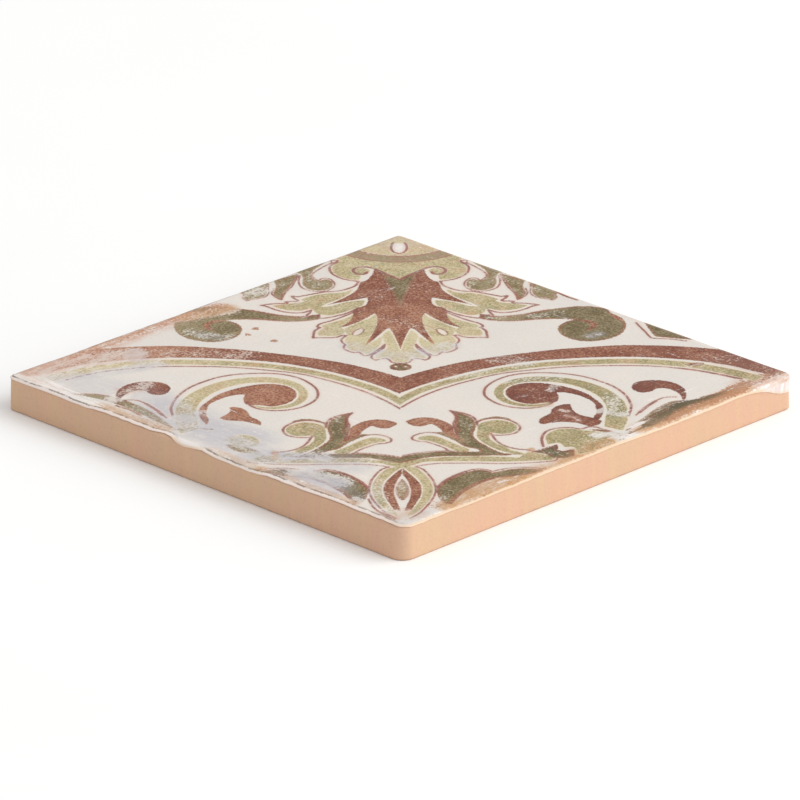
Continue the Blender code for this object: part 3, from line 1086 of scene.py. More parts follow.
class Weathering:
    """The stains, hazes and worn patches that lie over the ornament."""

    def __init__(self, canvas: Canvas) -> None:
        """Keeps the canvas to stain."""
        self.canvas = canvas

    def spread(self) -> None:
        """Lays every stain."""
        self.left_corner()
        self.right_side()
        self.front()

    def left_corner(self) -> None:
        """Dulls the left half, where the glaze is hazy and rubbed to the clay at the back."""
        pen = self.canvas
        pen.wear(Wash.HAZE, (
            (13, 0.85, [(-62, 80), (-52, 68), (-42, 60)]),
            (7, 0.5, [(-34, 50), (-22, 44), (-12, 42)]), (12, 0.38, [(-84, 98), (-68, 92)]),
            (3.4, -0.8, [(-63, 97), (-70, 99.5), (-75.5, 90)]),
        ))
        pen.wear(Wash.WORN, (
            (9, 0.2, [(-50, 64), (-40, 60)]),
            (4.5, 0.35, [(-102, 109), (-78, 133), (-60, 150.5)]),
        ))
        pen.wear(Wash.SCRAPED, (
            (5, 0.45, [(-104, 106), (-92, 97), (-80, 86)]),
            (2.8, 0.4, [(-106, 108), (-80, 82), (-56, 58), (-30, 32.5)]),
            (4, 0.6, [(-59.5, 60.5), (-55, 57)]),
        ))
        pen.wear(Wash.PEACH, (
            (7.5, 0.85, [(-100, 110), (-78, 132), (-60, 150)]),
            (2.6, 0.5, [(-101, 104), (-92, 95.5)]),
        ))
        pen.wear(Wash.BROWN, (
            (4.8, 0.6, [(-88, 122), (-74, 136), (-64, 146)]),
            (5, 0.58, [(-60, 149), (-50, 155.6)]), (1.5, 1, [(-39.5, 140)]),
            (1.5, 1, [(-41.5, 135.5)]), (1.5, 1, [(-34.3, 131)]),
            (2.4, 0.3, [(-69, 75.5), (-62, 68.6)]),
        ))
        pen.wear(Wash.TAN, (
            (4, 0.7, [(-80, 83.5), (-70, 73.5), (-63, 68)]), (3, 0.4, [(-50, 53), (-38, 41)]),
        ))

    def right_side(self) -> None:
        """Browns the edge at the front right, and pales the corner behind it."""
        pen = self.canvas
        pen.wear(Wash.BROWN, (
            (4.4, 0.9, [(70, 74.5), (77, 83), (84, 88.6), (90, 94.6)]),
            (3.8, 0.74, [(90, 95.5), (96, 103), (101, 107.6)]), (3, 0.4, [(84, 90), (90, 95)]),
        ))
        pen.wear(Wash.TAN, (
            (5, 0.9, [(42, 45), (52, 55)]), (4.6, 0.4, [(46, 52), (54, 58)]),
            (5.4, 0.95, [(64, 68), (75, 78), (84, 87), (92, 95)]),
        ))
        pen.wear(Wash.PEACH, (
            (6, 0.85, [(92, 98), (105, 106.5)]), (3.2, 0.5, [(68, 70.5), (92, 93.5)]),
            (4, 0.5, [(103, 106), (105, 105)]), (2, 0.4, [(56, 156), (76, 135.5)]),
        ))
        pen.wear(Wash.SCRAPED, (
            (2.8, 0.5, [(61, 69), (66, 77), (71, 85), (74, 87)]),
            (3.4, 0.52, [(51.5, 63.4), (59, 62.6)]), (2, 0.4, [(60, 66), (63.5, 71.5)]),
            (2.4, 0.4, [(74, 74), (94, 94)]), (3.6, 0.4, [(94, 96.5), (101, 102.5)]),
            (3, 0.4, [(103, 105), (106, 106)]),
        ))

    def front(self) -> None:
        """Pales the front corner."""
        pen = self.canvas


# The finishes
        pen.wash(Wash.SCRAPED, [(-9, 10.5), (0, 2.5), (9, 10.5)], 3.6, 0.45)
        pen.wash(Wash.HAZE, [(-4, 9), (0, 5), (5, 10)], 5.0, 0.45)
        pen.wash(Wash.TAN, [(-4, 8), (5, 9)], 4.0, 0.3)
        pen.wash(Wash.PEACH, [(-6, 11), (-2, 7)], 2.4, 0.5)


def fired(red: int, green: int, blue: int) -> Colour:
    """Turns a colour as the eye grades it into the share of light that it sends back.

    Args:
        red: Its red, from 0 to 255.
        green: Its green.
        blue: Its blue.

    Returns:
        The colour for a shader.
    """
    light = []
    for part in (red, green, blue):
        share = part / 255
        share = share / 12.92 if share <= 0.04045 else ((share + 0.055) / 1.055) ** 2.4
        light.append(share * FIRED_SHARE)
    return (light[0], light[1], light[2], 1.0)


class Mixer:
    """Builds one material, a node at a time."""

    def __init__(self, name: str) -> None:
        """Starts a material with a plain shader.

        Args:
            name: The material's name.
        """
        self.material = bpy.data.materials.new(name)
        self.material.use_nodes = True
        self.tree = self.material.node_tree
        self.shader = self.tree.nodes["Principled BSDF"]
        place = self.tree.nodes.new("ShaderNodeTexCoord")
        scale = self.tree.nodes.new("ShaderNodeVectorMath")
        scale.operation = "SCALE"
        scale.inputs["Scale"].default_value = 1.0 / MM
        self.tree.links.new(place.outputs["Object"], scale.inputs[0])
        self.place = scale.outputs[0]

    def plug(self, socket: Socket, value: object) -> None:
        """Sets a socket to a number or colour, or links another node's socket to it.

        Args:
            socket: The socket.
            value: What it gets.
        """
        if isinstance(value, Socket):
            self.tree.links.new(value, socket)
        else:
            socket.default_value = value

    def distance(self, name: str) -> Socket:
        """Reads a number that the mesh holds at each of its points.

        Args:
            name: The name that the mesh has for it.

        Returns:
            The number.
        """
        node = self.tree.nodes.new("ShaderNodeAttribute")
        node.attribute_name = name
        return node.outputs["Fac"]

    def noise(
        self,
        pitch: float,
        detail: float = 4.0,
        rough: float = 0.55,
        stretch: tuple[float, float, float] = (1.0, 1.0, 1.0),
        shift: float = 0.0,
    ) -> Socket:
        """Makes a cloudy pattern.

        Args:
            pitch: The size of its largest clouds.
            detail: How many finer layers it has.
            rough: How strong the finer layers are.
            stretch: How much the pattern is squeezed along each axis.
            shift: How far the pattern is moved, so that two patterns differ.

        Returns:
            Its value, about 0.5 in the middle.
        """
        mapping = self.tree.nodes.new("ShaderNodeMapping")
        mapping.inputs["Scale"].default_value = stretch
        mapping.inputs["Location"].default_value = (shift, shift * 0.7, shift * 0.3)
        self.tree.links.new(self.place, mapping.inputs["Vector"])
        node = self.tree.nodes.new("ShaderNodeTexNoise")
        node.inputs["Scale"].default_value = 1.0 / pitch
        node.inputs["Detail"].default_value = detail
        node.inputs["Roughness"].default_value = rough
        self.tree.links.new(mapping.outputs["Vector"], node.inputs["Vector"])
        return node.outputs["Fac"]

    def sum(self, kind: str, first: object, second: object = 0.0, third: object = 0.0) -> Socket:
        """Works out one step of arithmetic.

        Args:
            kind: Blender's name of the step.
            first: The first number.
            second: The second number.
            third: The third number, where the step has one.

        Returns:
            The result.
        """
        node = self.tree.nodes.new("ShaderNodeMath")
        node.operation = kind
        for socket, value in zip(node.inputs, (first, second, third)):
            self.plug(socket, value)
        return node.outputs[0]

    def times(self, first: object, second: object) -> Socket:
        """Multiplies two numbers."""
        return self.sum("MULTIPLY", first, second)

    def centred(self, pattern: Socket) -> Socket:
        """Moves a pattern so that its middle is at 0."""
        return self.sum("SUBTRACT", pattern, 0.5)

    def total(self, base: object, *parts: tuple[object, float]) -> Socket:
        """Adds weighted patterns to a number.

        Args:
            base: The number.
            parts: Each pattern with its weight.

        Returns:
            The sum.
        """
        for pattern, weight in parts:
            base = self.sum("MULTIPLY_ADD", pattern, weight, base)
        return base

    def ramp(
        self,
        value: object,
        start: float,
        end: float,
        low: float = 0.0,
        high: float = 1.0,
    ) -> Socket:
        """Goes smoothly from one number to another.

        Args:
            value: The number that it depends on.
            start: Where the result is low.
            end: Where the result is high. It may lie below start.
            low: The result at start.
            high: The result at end.

        Returns:
            The result.
        """
        node = self.tree.nodes.new("ShaderNodeMapRange")
        node.interpolation_type = "SMOOTHSTEP"
        for socket, number in zip(node.inputs, (value, start, end, low, high)):
            self.plug(socket, number)
        return node.outputs["Result"]

    def blend(self, share: object, below: object, above: object) -> Socket:
        """Lays one colour over another.

        Args:
            share: How much of the upper colour shows.
            below: The lower colour.
            above: The upper colour.

        Returns:
            The colour seen.
        """
        node = self.tree.nodes.new("ShaderNodeMix")
        node.data_type = "RGBA"
        node.clamp_factor = True
        self.plug(node.inputs[0], share)
        self.plug(node.inputs[6], below)
        self.plug(node.inputs[7], above)
        return node.outputs[2]

    def relief(
        self,
        height: object,
        depth: float,
        strength: float,
        under: Socket | None = None,
    ) -> Socket:
        """Makes fine relief.

        Args:
            height: Its height, from 0 to 1.
            depth: The height of 1, in millimetres.
            strength: Its share.
            under: The relief that it lies on.

        Returns:
            The normal.
        """
        node = self.tree.nodes.new("ShaderNodeBump")
        node.inputs["Strength"].default_value = strength
        node.inputs["Distance"].default_value = depth * MM
        self.plug(node.inputs["Height"], height)
        if under is not None:
            self.plug(node.inputs["Normal"], under)
        return node.outputs["Normal"]


class Stain(NamedTuple):
    """A stain: its share at each place, its colour, and how much it tints the paints above."""

    share: Socket
    tone: object
    tint: float


class GlazePatterns:
    """The noises and worn shares that the layers of the glaze read."""

    def __init__(self, mix: Mixer) -> None:
        """Builds the patterns.

        Args:
            mix: The material being built.
        """
        self.mix = mix
        self.clouds = mix.noise(22.0, 3.0)
        self.scuff = mix.noise(4.2, 9.0, 0.66, shift=31.0)
        self.grain = mix.noise(0.75, 5.0, 0.6, shift=7.0)
        self.speck = mix.noise(0.28, 2.0, 0.5, shift=3.0)
        self.grainy = mix.centred(self.grain)
        self.specky = mix.centred(self.speck)
        self.blotchy = mix.centred(self.scuff)
        self.streaky = self.rubbed()

        # Where paint is left, where a wash lies in patches, and how heavy the paint is
        self.worn = mix.distance(Wash.WORN.value)
        holes = mix.total(0.5, (self.blotchy, 0.8), (self.grainy, 1.3), (self.streaky, 0.6))
        limit = mix.total(0.08, (self.worn, 0.74))
        self.kept = mix.ramp(mix.sum("SUBTRACT", holes, limit), -0.14, 0.2)
        self.patchy = mix.total(self.scuff, (self.grainy, 0.5), (self.streaky, 0.9))
        self.mottle = mix.total(
            mix.distance("load"),
            (self.blotchy, 2.0), (self.grainy, 4.6), (self.specky, 2.4), (self.streaky, 1.2),
        )

        # Each paint's edge wanders by the grain, so it looks rubbed on
        self.wander = mix.total(mix.times(self.specky, 1.2), (self.grainy, 2.6))

    def rubbed(self) -> Socket:
        """Makes the streaks that rubbing has left along the nearest side.

        Returns:
            Their value, 0 in the middle.
        """
        mix = self.mix
        along_x = mix.noise(1.5, 6.0, 0.62, (0.14, 1.0, 1.0), 70.0)
        along_y = mix.noise(1.5, 6.0, 0.62, (1.0, 0.14, 1.0), 70.0)
        turned = mix.times(mix.sum("SUBTRACT", along_y, along_x), mix.distance("side"))
        return mix.centred(mix.sum("ADD", along_x, turned))

    def painted(self, paint: Paint, share: float, left: float, grown: float = 0.0) -> Socket:
        """Gives how much of a paint lies at each place.

        Args:
            paint: The paint.
            share: How far its edge wanders.
            left: The tint that stays where it is worn.
            grown: How far it reaches beyond its outline.

        Returns:
            Its share.
        """
        mix = self.mix
        edge = mix.total(mix.distance(paint.value), (self.wander, share))
        thick = mix.total(left, (self.kept, 1.0 - left))
        return mix.times(mix.ramp(edge, grown + 0.16, grown - 0.16), thick)

    def washed(self, wash: Wash, start: float, end: float, low: float) -> Socket:
        """Gives how strong a wash is at each place.

        Args:
            wash: The wash.
            start: Where in the patches it is weakest.
            end: Where in them it is whole.
            low: Its share where it is weakest.

        Returns:
            Its share.
        """
        patches = self.mix.ramp(self.patchy, start, end, low, 1.0)
        return self.mix.times(self.mix.distance(wash.value), patches)


@dataclass(frozen=True)
class GlazeFinish:
    """The satin glaze with its grainy paints, stains and worn places, and a painted highlight on its
    bead.
    """

    cream: Colour = fired(236, 227, 218)
    cool_cream: Colour = fired(228, 222, 215)
    dusty_cream: Colour = fired(206, 194, 182)
    haze: Colour = fired(197, 193, 198)
    pale_green: Colour = fired(214, 200, 161)
    green: Colour = fired(186, 170, 124)
    warm_green: Colour = fired(206, 164, 128)
    cool_green: Colour = fired(170, 165, 128)
    deep_green: Colour = fired(142, 130, 84)
    pale_olive: Colour = fired(158, 141, 102)
    olive: Colour = fired(114, 95, 50)
    deep_olive: Colour = fired(82, 70, 34)
    olive_edge: Colour = fired(150, 86, 54)
    pale_rust: Colour = fired(183, 129, 97)
    rust: Colour = fired(135, 69, 35)
    deep_rust: Colour = fired(104, 40, 19)
    line: Colour = fired(134, 74, 62)
    red_line: Colour = fired(172, 88, 74)
    blush: Colour = fired(230, 204, 188)
    halo: Colour = fired(236, 220, 196)
    peach: Colour = fired(213, 170, 149)
    deep_peach: Colour = fired(176, 122, 96)
    pale_tan: Colour = fired(226, 198, 168)
    tan: Colour = fired(204, 156, 110)
    deep_tan: Colour = fired(160, 122, 72)
    pale_brown: Colour = fired(206, 156, 118)
    brown: Colour = fired(170, 105, 60)
    deep_brown: Colour = fired(98, 72, 40)
    seam: Colour = fired(120, 104, 90)
    white: Colour = fired(247, 238, 233)
    # The bead's pale tones, partly its thicker glaze and partly a painted highlight, set apart for the
    # left and right sides by the light each gets
    left_bead_and_highlight: Colour = fired(247, 232, 224)
    right_bead_and_highlight: Colour = fired(236, 208, 178)
    run: Colour = fired(228, 208, 204)
    gloss: float = 0.42
    specular: float = 0.45

    def make(self) -> bpy.types.Material:
        """Builds the material from the distances and shares that the coat's mesh holds.

        Returns:
            The material.
        """
        mix = Mixer("painted_glaze")
        marks = GlazePatterns(mix)
        stains = self.stains(marks)
        colour = self.ground(marks)
        for stain in stains:
            colour = mix.blend(stain.share, colour, stain.tone)
        colour = self.paints(marks, colour)
        for stain in reversed(stains):
            if stain.tint:
                colour = mix.blend(mix.times(stain.share, stain.tint), colour, stain.tone)
        scraped = mix.total(
            mix.distance(Wash.SCRAPED.value),
            (marks.grainy, 1.2), (marks.streaky, 3.2), (marks.blotchy, 0.8),
        )
        colour = mix.blend(mix.ramp(scraped, 0.4, 0.9, 0.0, 0.9), colour, self.white)
        colour, bead = self.border(marks, colour)
        mix.plug(mix.shader.inputs["Base Color"], colour)
        self.surface(marks, bead)
        return mix.material

    def ground(self, marks: GlazePatterns) -> Socket:
        """Gives the cream ground's colour.

        Args:
            marks: The patterns.

        Returns:
            The colour.
        """
        mix = marks.mix
        colour = mix.blend(mix.ramp(marks.clouds, 0.35, 0.7), self.cream, self.cool_cream)
        dusty = mix.total(marks.grain, (marks.specky, 0.6))
        return mix.blend(mix.ramp(dusty, 0.42, 0.72, 0.0, 0.3), colour, self.dusty_cream)

    def stains(self, marks: GlazePatterns) -> list[Stain]:
        """Gives the stains on the ground.

        Args:
            marks: The patterns.

        Returns:
            The stains, the lowest first.
        """
        mix = marks.mix
        peach = mix.blend(mix.ramp(marks.mottle, 0.4, 1.2, 0.0, 0.7), self.peach, self.deep_peach)
        tan = mix.blend(mix.ramp(marks.mottle, -0.2, -1.1, 0.0, 0.8), self.tan, self.pale_tan)
        tan = mix.blend(mix.ramp(marks.mottle, 0.2, 1.0, 0.0, 0.7), tan, self.deep_tan)
        brown = mix.ramp(marks.mottle, -0.1, -1.0, 0.0, 0.8)
        brown = mix.blend(brown, self.brown, self.pale_brown)
        brown = mix.blend(mix.ramp(marks.mottle, 0.3, 1.0, 0.0, 0.85), brown, self.deep_brown)
        share = mix.distance(Wash.BROWN.value)
        spots = mix.total(share, (marks.blotchy, 0.9), (marks.grainy, 2.6), (marks.streaky, 0.8))
        spots = mix.times(mix.ramp(spots, 0.3, 0.8, 0.0, 0.92), mix.ramp(share, 0.02, 0.2))
        return [
            Stain(marks.washed(Wash.HAZE, 0.2, 0.62, 0.35), self.haze, 0.28),
            Stain(marks.washed(Wash.PEACH, 0.36, 0.6, 0.2), peach, 0.35),
            Stain(marks.washed(Wash.TAN, 0.3, 0.55, 0.55), tan, 0.35),
            Stain(spots, brown, 0.0),
        ]

    def paints(self, marks: GlazePatterns, colour: Socket) -> Socket:
        """Lays the pale margins of the paints, the three paints, and the contour lines.

        Args:
            marks: The patterns.
            colour: The colour below.

        Returns:
            The colour seen.
        """
        mix = marks.mix
        whole = mix.ramp(marks.worn, 0.2, 0.55, 1.0, 0.0)
        near_fill = mix.ramp(mix.distance(Paint.GREEN.value), 1.3, 0.3, 0.0, 0.6)
        colour = mix.blend(mix.times(near_fill, whole), colour, self.halo)
        near_line = mix.ramp(mix.distance(Paint.LINE.value), 1.0, 0.1, 0.0, 0.5)
        colour = mix.blend(mix.times(near_line, whole), colour, self.blush)

        warmth = mix.ramp(mix.noise(5.0, 6.0, 0.66, shift=64.0), 0.44, 0.68, 0.0, 0.8)
        coolness = mix.ramp(mix.noise(6.0, 6.0, 0.66, shift=110.0), 0.46, 0.66, 0.0, 0.6)
        green = mix.blend(warmth, self.green, self.warm_green)
        green = mix.blend(coolness, green, self.cool_green)
        edge = mix.total(mix.distance(Paint.OLIVE.value), (marks.wander, 0.6))
        olive = mix.blend(mix.ramp(edge, -1.2, -0.35, 0.0, 0.95), self.olive, self.olive_edge)
        dark_edge = mix.ramp(mix.distance(Paint.RUST.value), -1.0, -0.2, 0.0, 0.4)
        rust = mix.blend(dark_edge, self.rust, self.deep_rust)
        for share, tones in (
            (marks.painted(Paint.GREEN, 0.6, 0.2, 0.24), (self.pale_green, green, self.deep_green)),
            (marks.painted(Paint.OLIVE, 0.6, 0.16), (self.pale_olive, olive, self.deep_olive)),
            (marks.painted(Paint.RUST, 0.5, 0.28), (self.pale_rust, rust, self.deep_rust)),
        ):
            colour = mix.blend(share, colour, self.mottled(marks, *tones))
        broken = mix.ramp(marks.patchy, 0.3, 0.5, 0.5, 0.92)
        line = mix.times(marks.painted(Paint.LINE, 0.24, 0.1, -0.01), broken)
        return mix.blend(line, colour, mix.blend(warmth, self.line, self.red_line))

    def mottled(self, marks: GlazePatterns, pale: object, middle: object, deep: object) -> Socket:
        """Gives a paint's colour, which varies with how heavy the paint lies.

        Args:
            marks: The patterns.
            pale: Its colour where it is thin.
            middle: Its colour in most places.
            deep: Its colour where it is heavy.

        Returns:
            The colour.
        """
        mix = marks.mix
        tone = mix.blend(mix.ramp(marks.mottle, 0.1, -0.8), middle, pale)
        return mix.blend(mix.ramp(marks.mottle, 0.1, 0.8), tone, deep)

    def border(self, marks: GlazePatterns, colour: Socket) -> tuple[Socket, Socket]:
        """Lays the bead at the glaze's edge with its painted highlight, the dark line behind it on the
        left, and the run.

        Args:
            marks: The patterns.
            colour: The colour below.

        Returns:
            The colour seen, and the bead's share.
        """
        mix = marks.mix
        # A dark line just inside the bead, painted on the left half only
        rim = mix.total(mix.distance("rim"), (marks.blotchy, 0.6), (marks.grainy, 0.7))
        seam = mix.times(mix.ramp(rim, 1.5, 1.2), mix.ramp(rim, 0.75, 1.0))
        seam = mix.times(seam, mix.distance("seam"))
        seam = mix.times(seam, mix.ramp(marks.scuff, 0.38, 0.58, 0.1, 0.8))
        colour = mix.blend(seam, colour, self.seam)
        # The bead is painted pale: partly its thicker glaze, partly a painted highlight along the edge.
        # It is painted paler on the left than on the right, for the light each side gets
        bead = mix.ramp(rim, 1.0, 0.65, 0.0, 0.92)
        bead_and_highlight_tone = mix.blend(mix.distance("seam"), self.right_bead_and_highlight, self.left_bead_and_highlight)
        colour = mix.blend(bead, colour, bead_and_highlight_tone)

        # Where the glaze ran down the corner it is streaked, and thin at its foot, where it takes the
        # bead's pale tone with its painted highlight
        streaks = mix.noise(1.5, 4.0, 0.6, (1.0, 1.0, 0.14), 51.0)
        run = mix.blend(mix.ramp(streaks, 0.42, 0.62), self.run, self.white)
        run = mix.blend(mix.ramp(mix.distance("rim"), 0.9, 0.1, 0.0, 0.55), run, self.right_bead_and_highlight)
        return mix.blend(mix.ramp(mix.distance("low"), 1.2, 2.0), colour, run), bead

    def surface(self, marks: GlazePatterns, bead: Socket) -> None:
        """Sets how glossy the glaze is, and gives it fine relief.

        Args:
            marks: The patterns.
            bead: The bead's share.
        """
        mix = marks.mix
        rough = mix.ramp(marks.scuff, 0.3, 0.7, self.gloss - 0.07, self.gloss + 0.1)
        rough = mix.total(rough, (mix.sum("SUBTRACT", 1.0, marks.kept), 0.1), (bead, 0.14))
        mix.plug(mix.shader.inputs["Roughness"], rough)
        mix.shader.inputs["Specular IOR Level"].default_value = self.specular
        swell = mix.relief(mix.noise(2.6, 3.0, shift=90.0), 0.09, 0.5)
        pits = mix.relief(mix.ramp(marks.speck, 0.3, 0.5), 0.03, 0.5, swell)
        lines = mix.ramp(mix.distance(Paint.LINE.value), 0.5, -0.2)
        mix.plug(mix.shader.inputs["Normal"], mix.relief(lines, 0.03, 0.6, pits))


@dataclass(frozen=True)
class ClayFinish:
    """The bare fired clay of the sides and the back, with a painted shadow along its bottom."""

    clay: Colour = fired(217, 181, 151)
    pink: Colour = fired(221, 178, 152)
    yellow: Colour = fired(221, 188, 149)
    dark: Colour = fired(197, 160, 128)
    # The colour of the painted shadow along the bottom
    foot: Colour = fired(184, 150, 122)
    rough: float = 0.85
    specular: float = 0.25

    def make(self) -> bpy.types.Material:
        """Builds the material.

        Returns:
            The material.
        """
        mix = Mixer("fired_clay")
        clouds = mix.noise(14.0, 4.0, stretch=(1.0, 1.0, 0.35))
        wiped = mix.noise(3.0, 5.0, 0.6, (1.0, 1.0, 0.12), 21.0)
        grain = mix.noise(0.8, 6.0, 0.65, shift=12.0)
        colour = mix.blend(mix.ramp(clouds, 0.38, 0.62), self.clay, self.pink)
        colour = mix.blend(mix.ramp(wiped, 0.45, 0.7, 0.0, 0.5), colour, self.yellow)
        colour = mix.blend(mix.ramp(grain, 0.5, 0.75, 0.0, 0.45), colour, self.dark)
        # The bottom is painted darker, broken by the wiped streaks: a painted shadow where the tile meets
        # the floor
        height = mix.tree.nodes.new("ShaderNodeSeparateXYZ")
        mix.tree.links.new(mix.place, height.inputs[0])
        foot = mix.total(height.outputs["Z"], (mix.centred(wiped), 1.0))
        colour = mix.blend(mix.ramp(foot, 0.7, 0.1, 0.0, 0.5), colour, self.foot)
        mix.plug(mix.shader.inputs["Base Color"], colour)
        rough = mix.ramp(grain, 0.3, 0.7, self.rough - 0.06, self.rough + 0.08)
        mix.plug(mix.shader.inputs["Roughness"], rough)
        mix.shader.inputs["Specular IOR Level"].default_value = self.specular
        drag = mix.relief(mix.noise(1.4, 5.0, 0.6, (1.0, 1.0, 0.5), 40.0), 0.12, 0.6)
        mix.plug(mix.shader.inputs["Normal"], mix.relief(grain, 0.05, 0.7, drag))
        return mix.material


# The pieces


@dataclass
class Rim:
    """The rounding between the face and the sides, and how far down the glaze runs."""

    width: float = 2.6
    drop: float = 1.1
    width_wave: float = 0.45
    drop_wave: float = 0.4
    drop_lag: float = 0.25
    strongest_turn: float = 0.875
    calm_share: float = 0.35
    waves: tuple[tuple[float, ...], ...] = ((7, 0.40, 0.15), (16, 0.35, 0.60), (29, 0.25, 0.35))

    # The way round the tile in millimetres, from the front corner past the right one, and the
    # height of the glaze's edge there
    edge_heights: tuple[tuple[float, ...], ...] = (
        (0, 9.45), (5, 9.25), (80, 9.25), (90, 9.1), (97, 8.9), (112, 8.9), (120, 9.0),
        (127, 9.15), (131, 9.1), (134, 8.8), (137, 8.2), (140, 7.3), (142, 6.4), (144, 5.7),
        (146, 5.3), (149, 5.2), (153, 5.5), (158, 6.6), (164, 8.0), (172, 8.9), (190, 9.3),
        (215, 9.1), (222, 8.7), (229, 9.2), (270, 9.3), (300, 9.4), (340, 9.2), (362, 8.9),
        (368, 9.3), (410, 9.3), (450, 9.2), (480, 9.3), (486, 9.6), (505, 9.6), (510, 9.8),
        (513, 9.7), (516, 9.2), (518.5, 9.0), (521, 9.3), (525, 9.6), (530, 9.2),
        (544, 9.1), (550, 9.55), (575, 9.65), (595, 9.6), (600, 9.45),
    )

    def wave(self, turn: np.ndarray, lag: float) -> np.ndarray:
        """Gives the rim's wave, from -1 to 1.

        Args:
            turn: The way round the tile, from 0 to 1.
            lag: How far the wave is shifted, in turns of its own.

        Returns:
            The wave at each place.
        """
        nearness = (1 + np.cos(math.tau * (turn - self.strongest_turn))) / 2
        total = np.zeros_like(turn)
        for count, share, start in self.waves:
            total += share * np.sin(math.tau * (count * turn + start + lag))
        return (self.calm_share + (1 - self.calm_share) * nearness) * total

    def widths(self, turn: np.ndarray) -> np.ndarray:
        """Gives the rounding's width at each place."""
        return self.width + self.width_wave * self.wave(turn, 0.0)

    def drops(self, turn: np.ndarray) -> np.ndarray:
        """Gives the rounding's height at each place."""
        return self.drop + self.drop_wave * self.wave(turn, self.drop_lag)

    def glaze_edge(self, turn: np.ndarray) -> np.ndarray:
        """Gives the height at which the glaze ends.

        Args:
            turn: The way round the tile, from 0 to 1.

        Returns:
            The height at each place.
        """
        way = np.array([place for place, _ in self.edge_heights], float)
        height = np.array([level for _, level in self.edge_heights], float)
        ripple = 0.03 * np.sin(math.tau * (83 * turn + 0.9 * np.sin(math.tau * 11 * turn)))
        return np.interp(turn * WAY_ROUND, way, height) + ripple


def way_round(across: np.ndarray, up: np.ndarray) -> np.ndarray:
    """Gives the way round a square from its -X -Y corner, from 0 to 1.

    Args:
        across: The places' X.
        up: The places' Y.

    Returns:
        The way round of each.
    """
    far = np.maximum(np.maximum(np.abs(across), np.abs(up)), TINY)
    x = across / far
    y = up / far
    sides = np.where(x <= -1 + TINY, 3 + (1 - y) / 2, 0.0)
    sides = np.where(y >= 1 - TINY, 2 + (1 - x) / 2, sides)
    sides = np.where(x >= 1 - TINY, 1 + (y + 1) / 2, sides)
    sides = np.where(y <= -1 + TINY, (x + 1) / 2, sides)
    return (sides / 4) % 1.0


def draw_in(x: np.ndarray, y: np.ndarray, side: np.ndarray | float) -> np.ndarray:
    """Places points of a plain square on the tile's outline, drawn in by a distance.

    Args:
        x: The places' X in the square.
        y: The places' Y in the square.
        side: How far the outline is drawn in at each place.

    Returns:
        The points in the plane, one in each row.
    """
    radius = np.where(y < 0, np.where(x < 0, FRONT_RADIUS, RIGHT_RADIUS), BACK_RADIUS)
    radius = np.where((y >= 0) & (x < 0), LEFT_RADIUS, radius)
    far = np.maximum(np.abs(x), np.abs(y))
    near = np.minimum(np.abs(x), np.abs(y))
    left = np.maximum(radius - side, 0.0)
    straight = far - left
    core = HALF_SIDE - side - left
    bend = math.pi / 4 * np.clip((near - straight) / np.maximum(left, TINY), 0.0, 1.0)
    turned = near > straight
    out = np.where(turned, core + left * np.cos(bend), HALF_SIDE - side)
    beside = np.clip(1 - (straight - near) / CORNER_EASE, 0.0, 1.0)
    along = np.where(turned, core + left * np.sin(bend), near + (core - straight) * beside)
    flat = np.abs(x) >= np.abs(y)
    return np.stack(
        [np.where(flat, out, along) * np.sign(x), np.where(flat, along, out) * np.sign(y)], axis=1
    )


def add_piece(
    name: str,
    points: np.ndarray,
    faces: list[list[int]],
    material: bpy.types.Material,
) -> bpy.types.Object:
    """Makes one piece of the tile that stands for its CAD node.

    Args:
        name: The piece's name.
        points: Its points in millimetres, one in each row.
        faces: Its faces, as numbers of points.
        material: Its finish.

    Returns:
        The piece.
    """
    mesh = bpy.data.meshes.new(name)
    mesh.from_pydata((points * MM).tolist(), [], faces)
    mesh.materials.append(material)
    mesh.shade_smooth()
    piece = bpy.data.objects.new(name, mesh)
    bpy.context.scene.collection.objects.link(piece)
    return piece


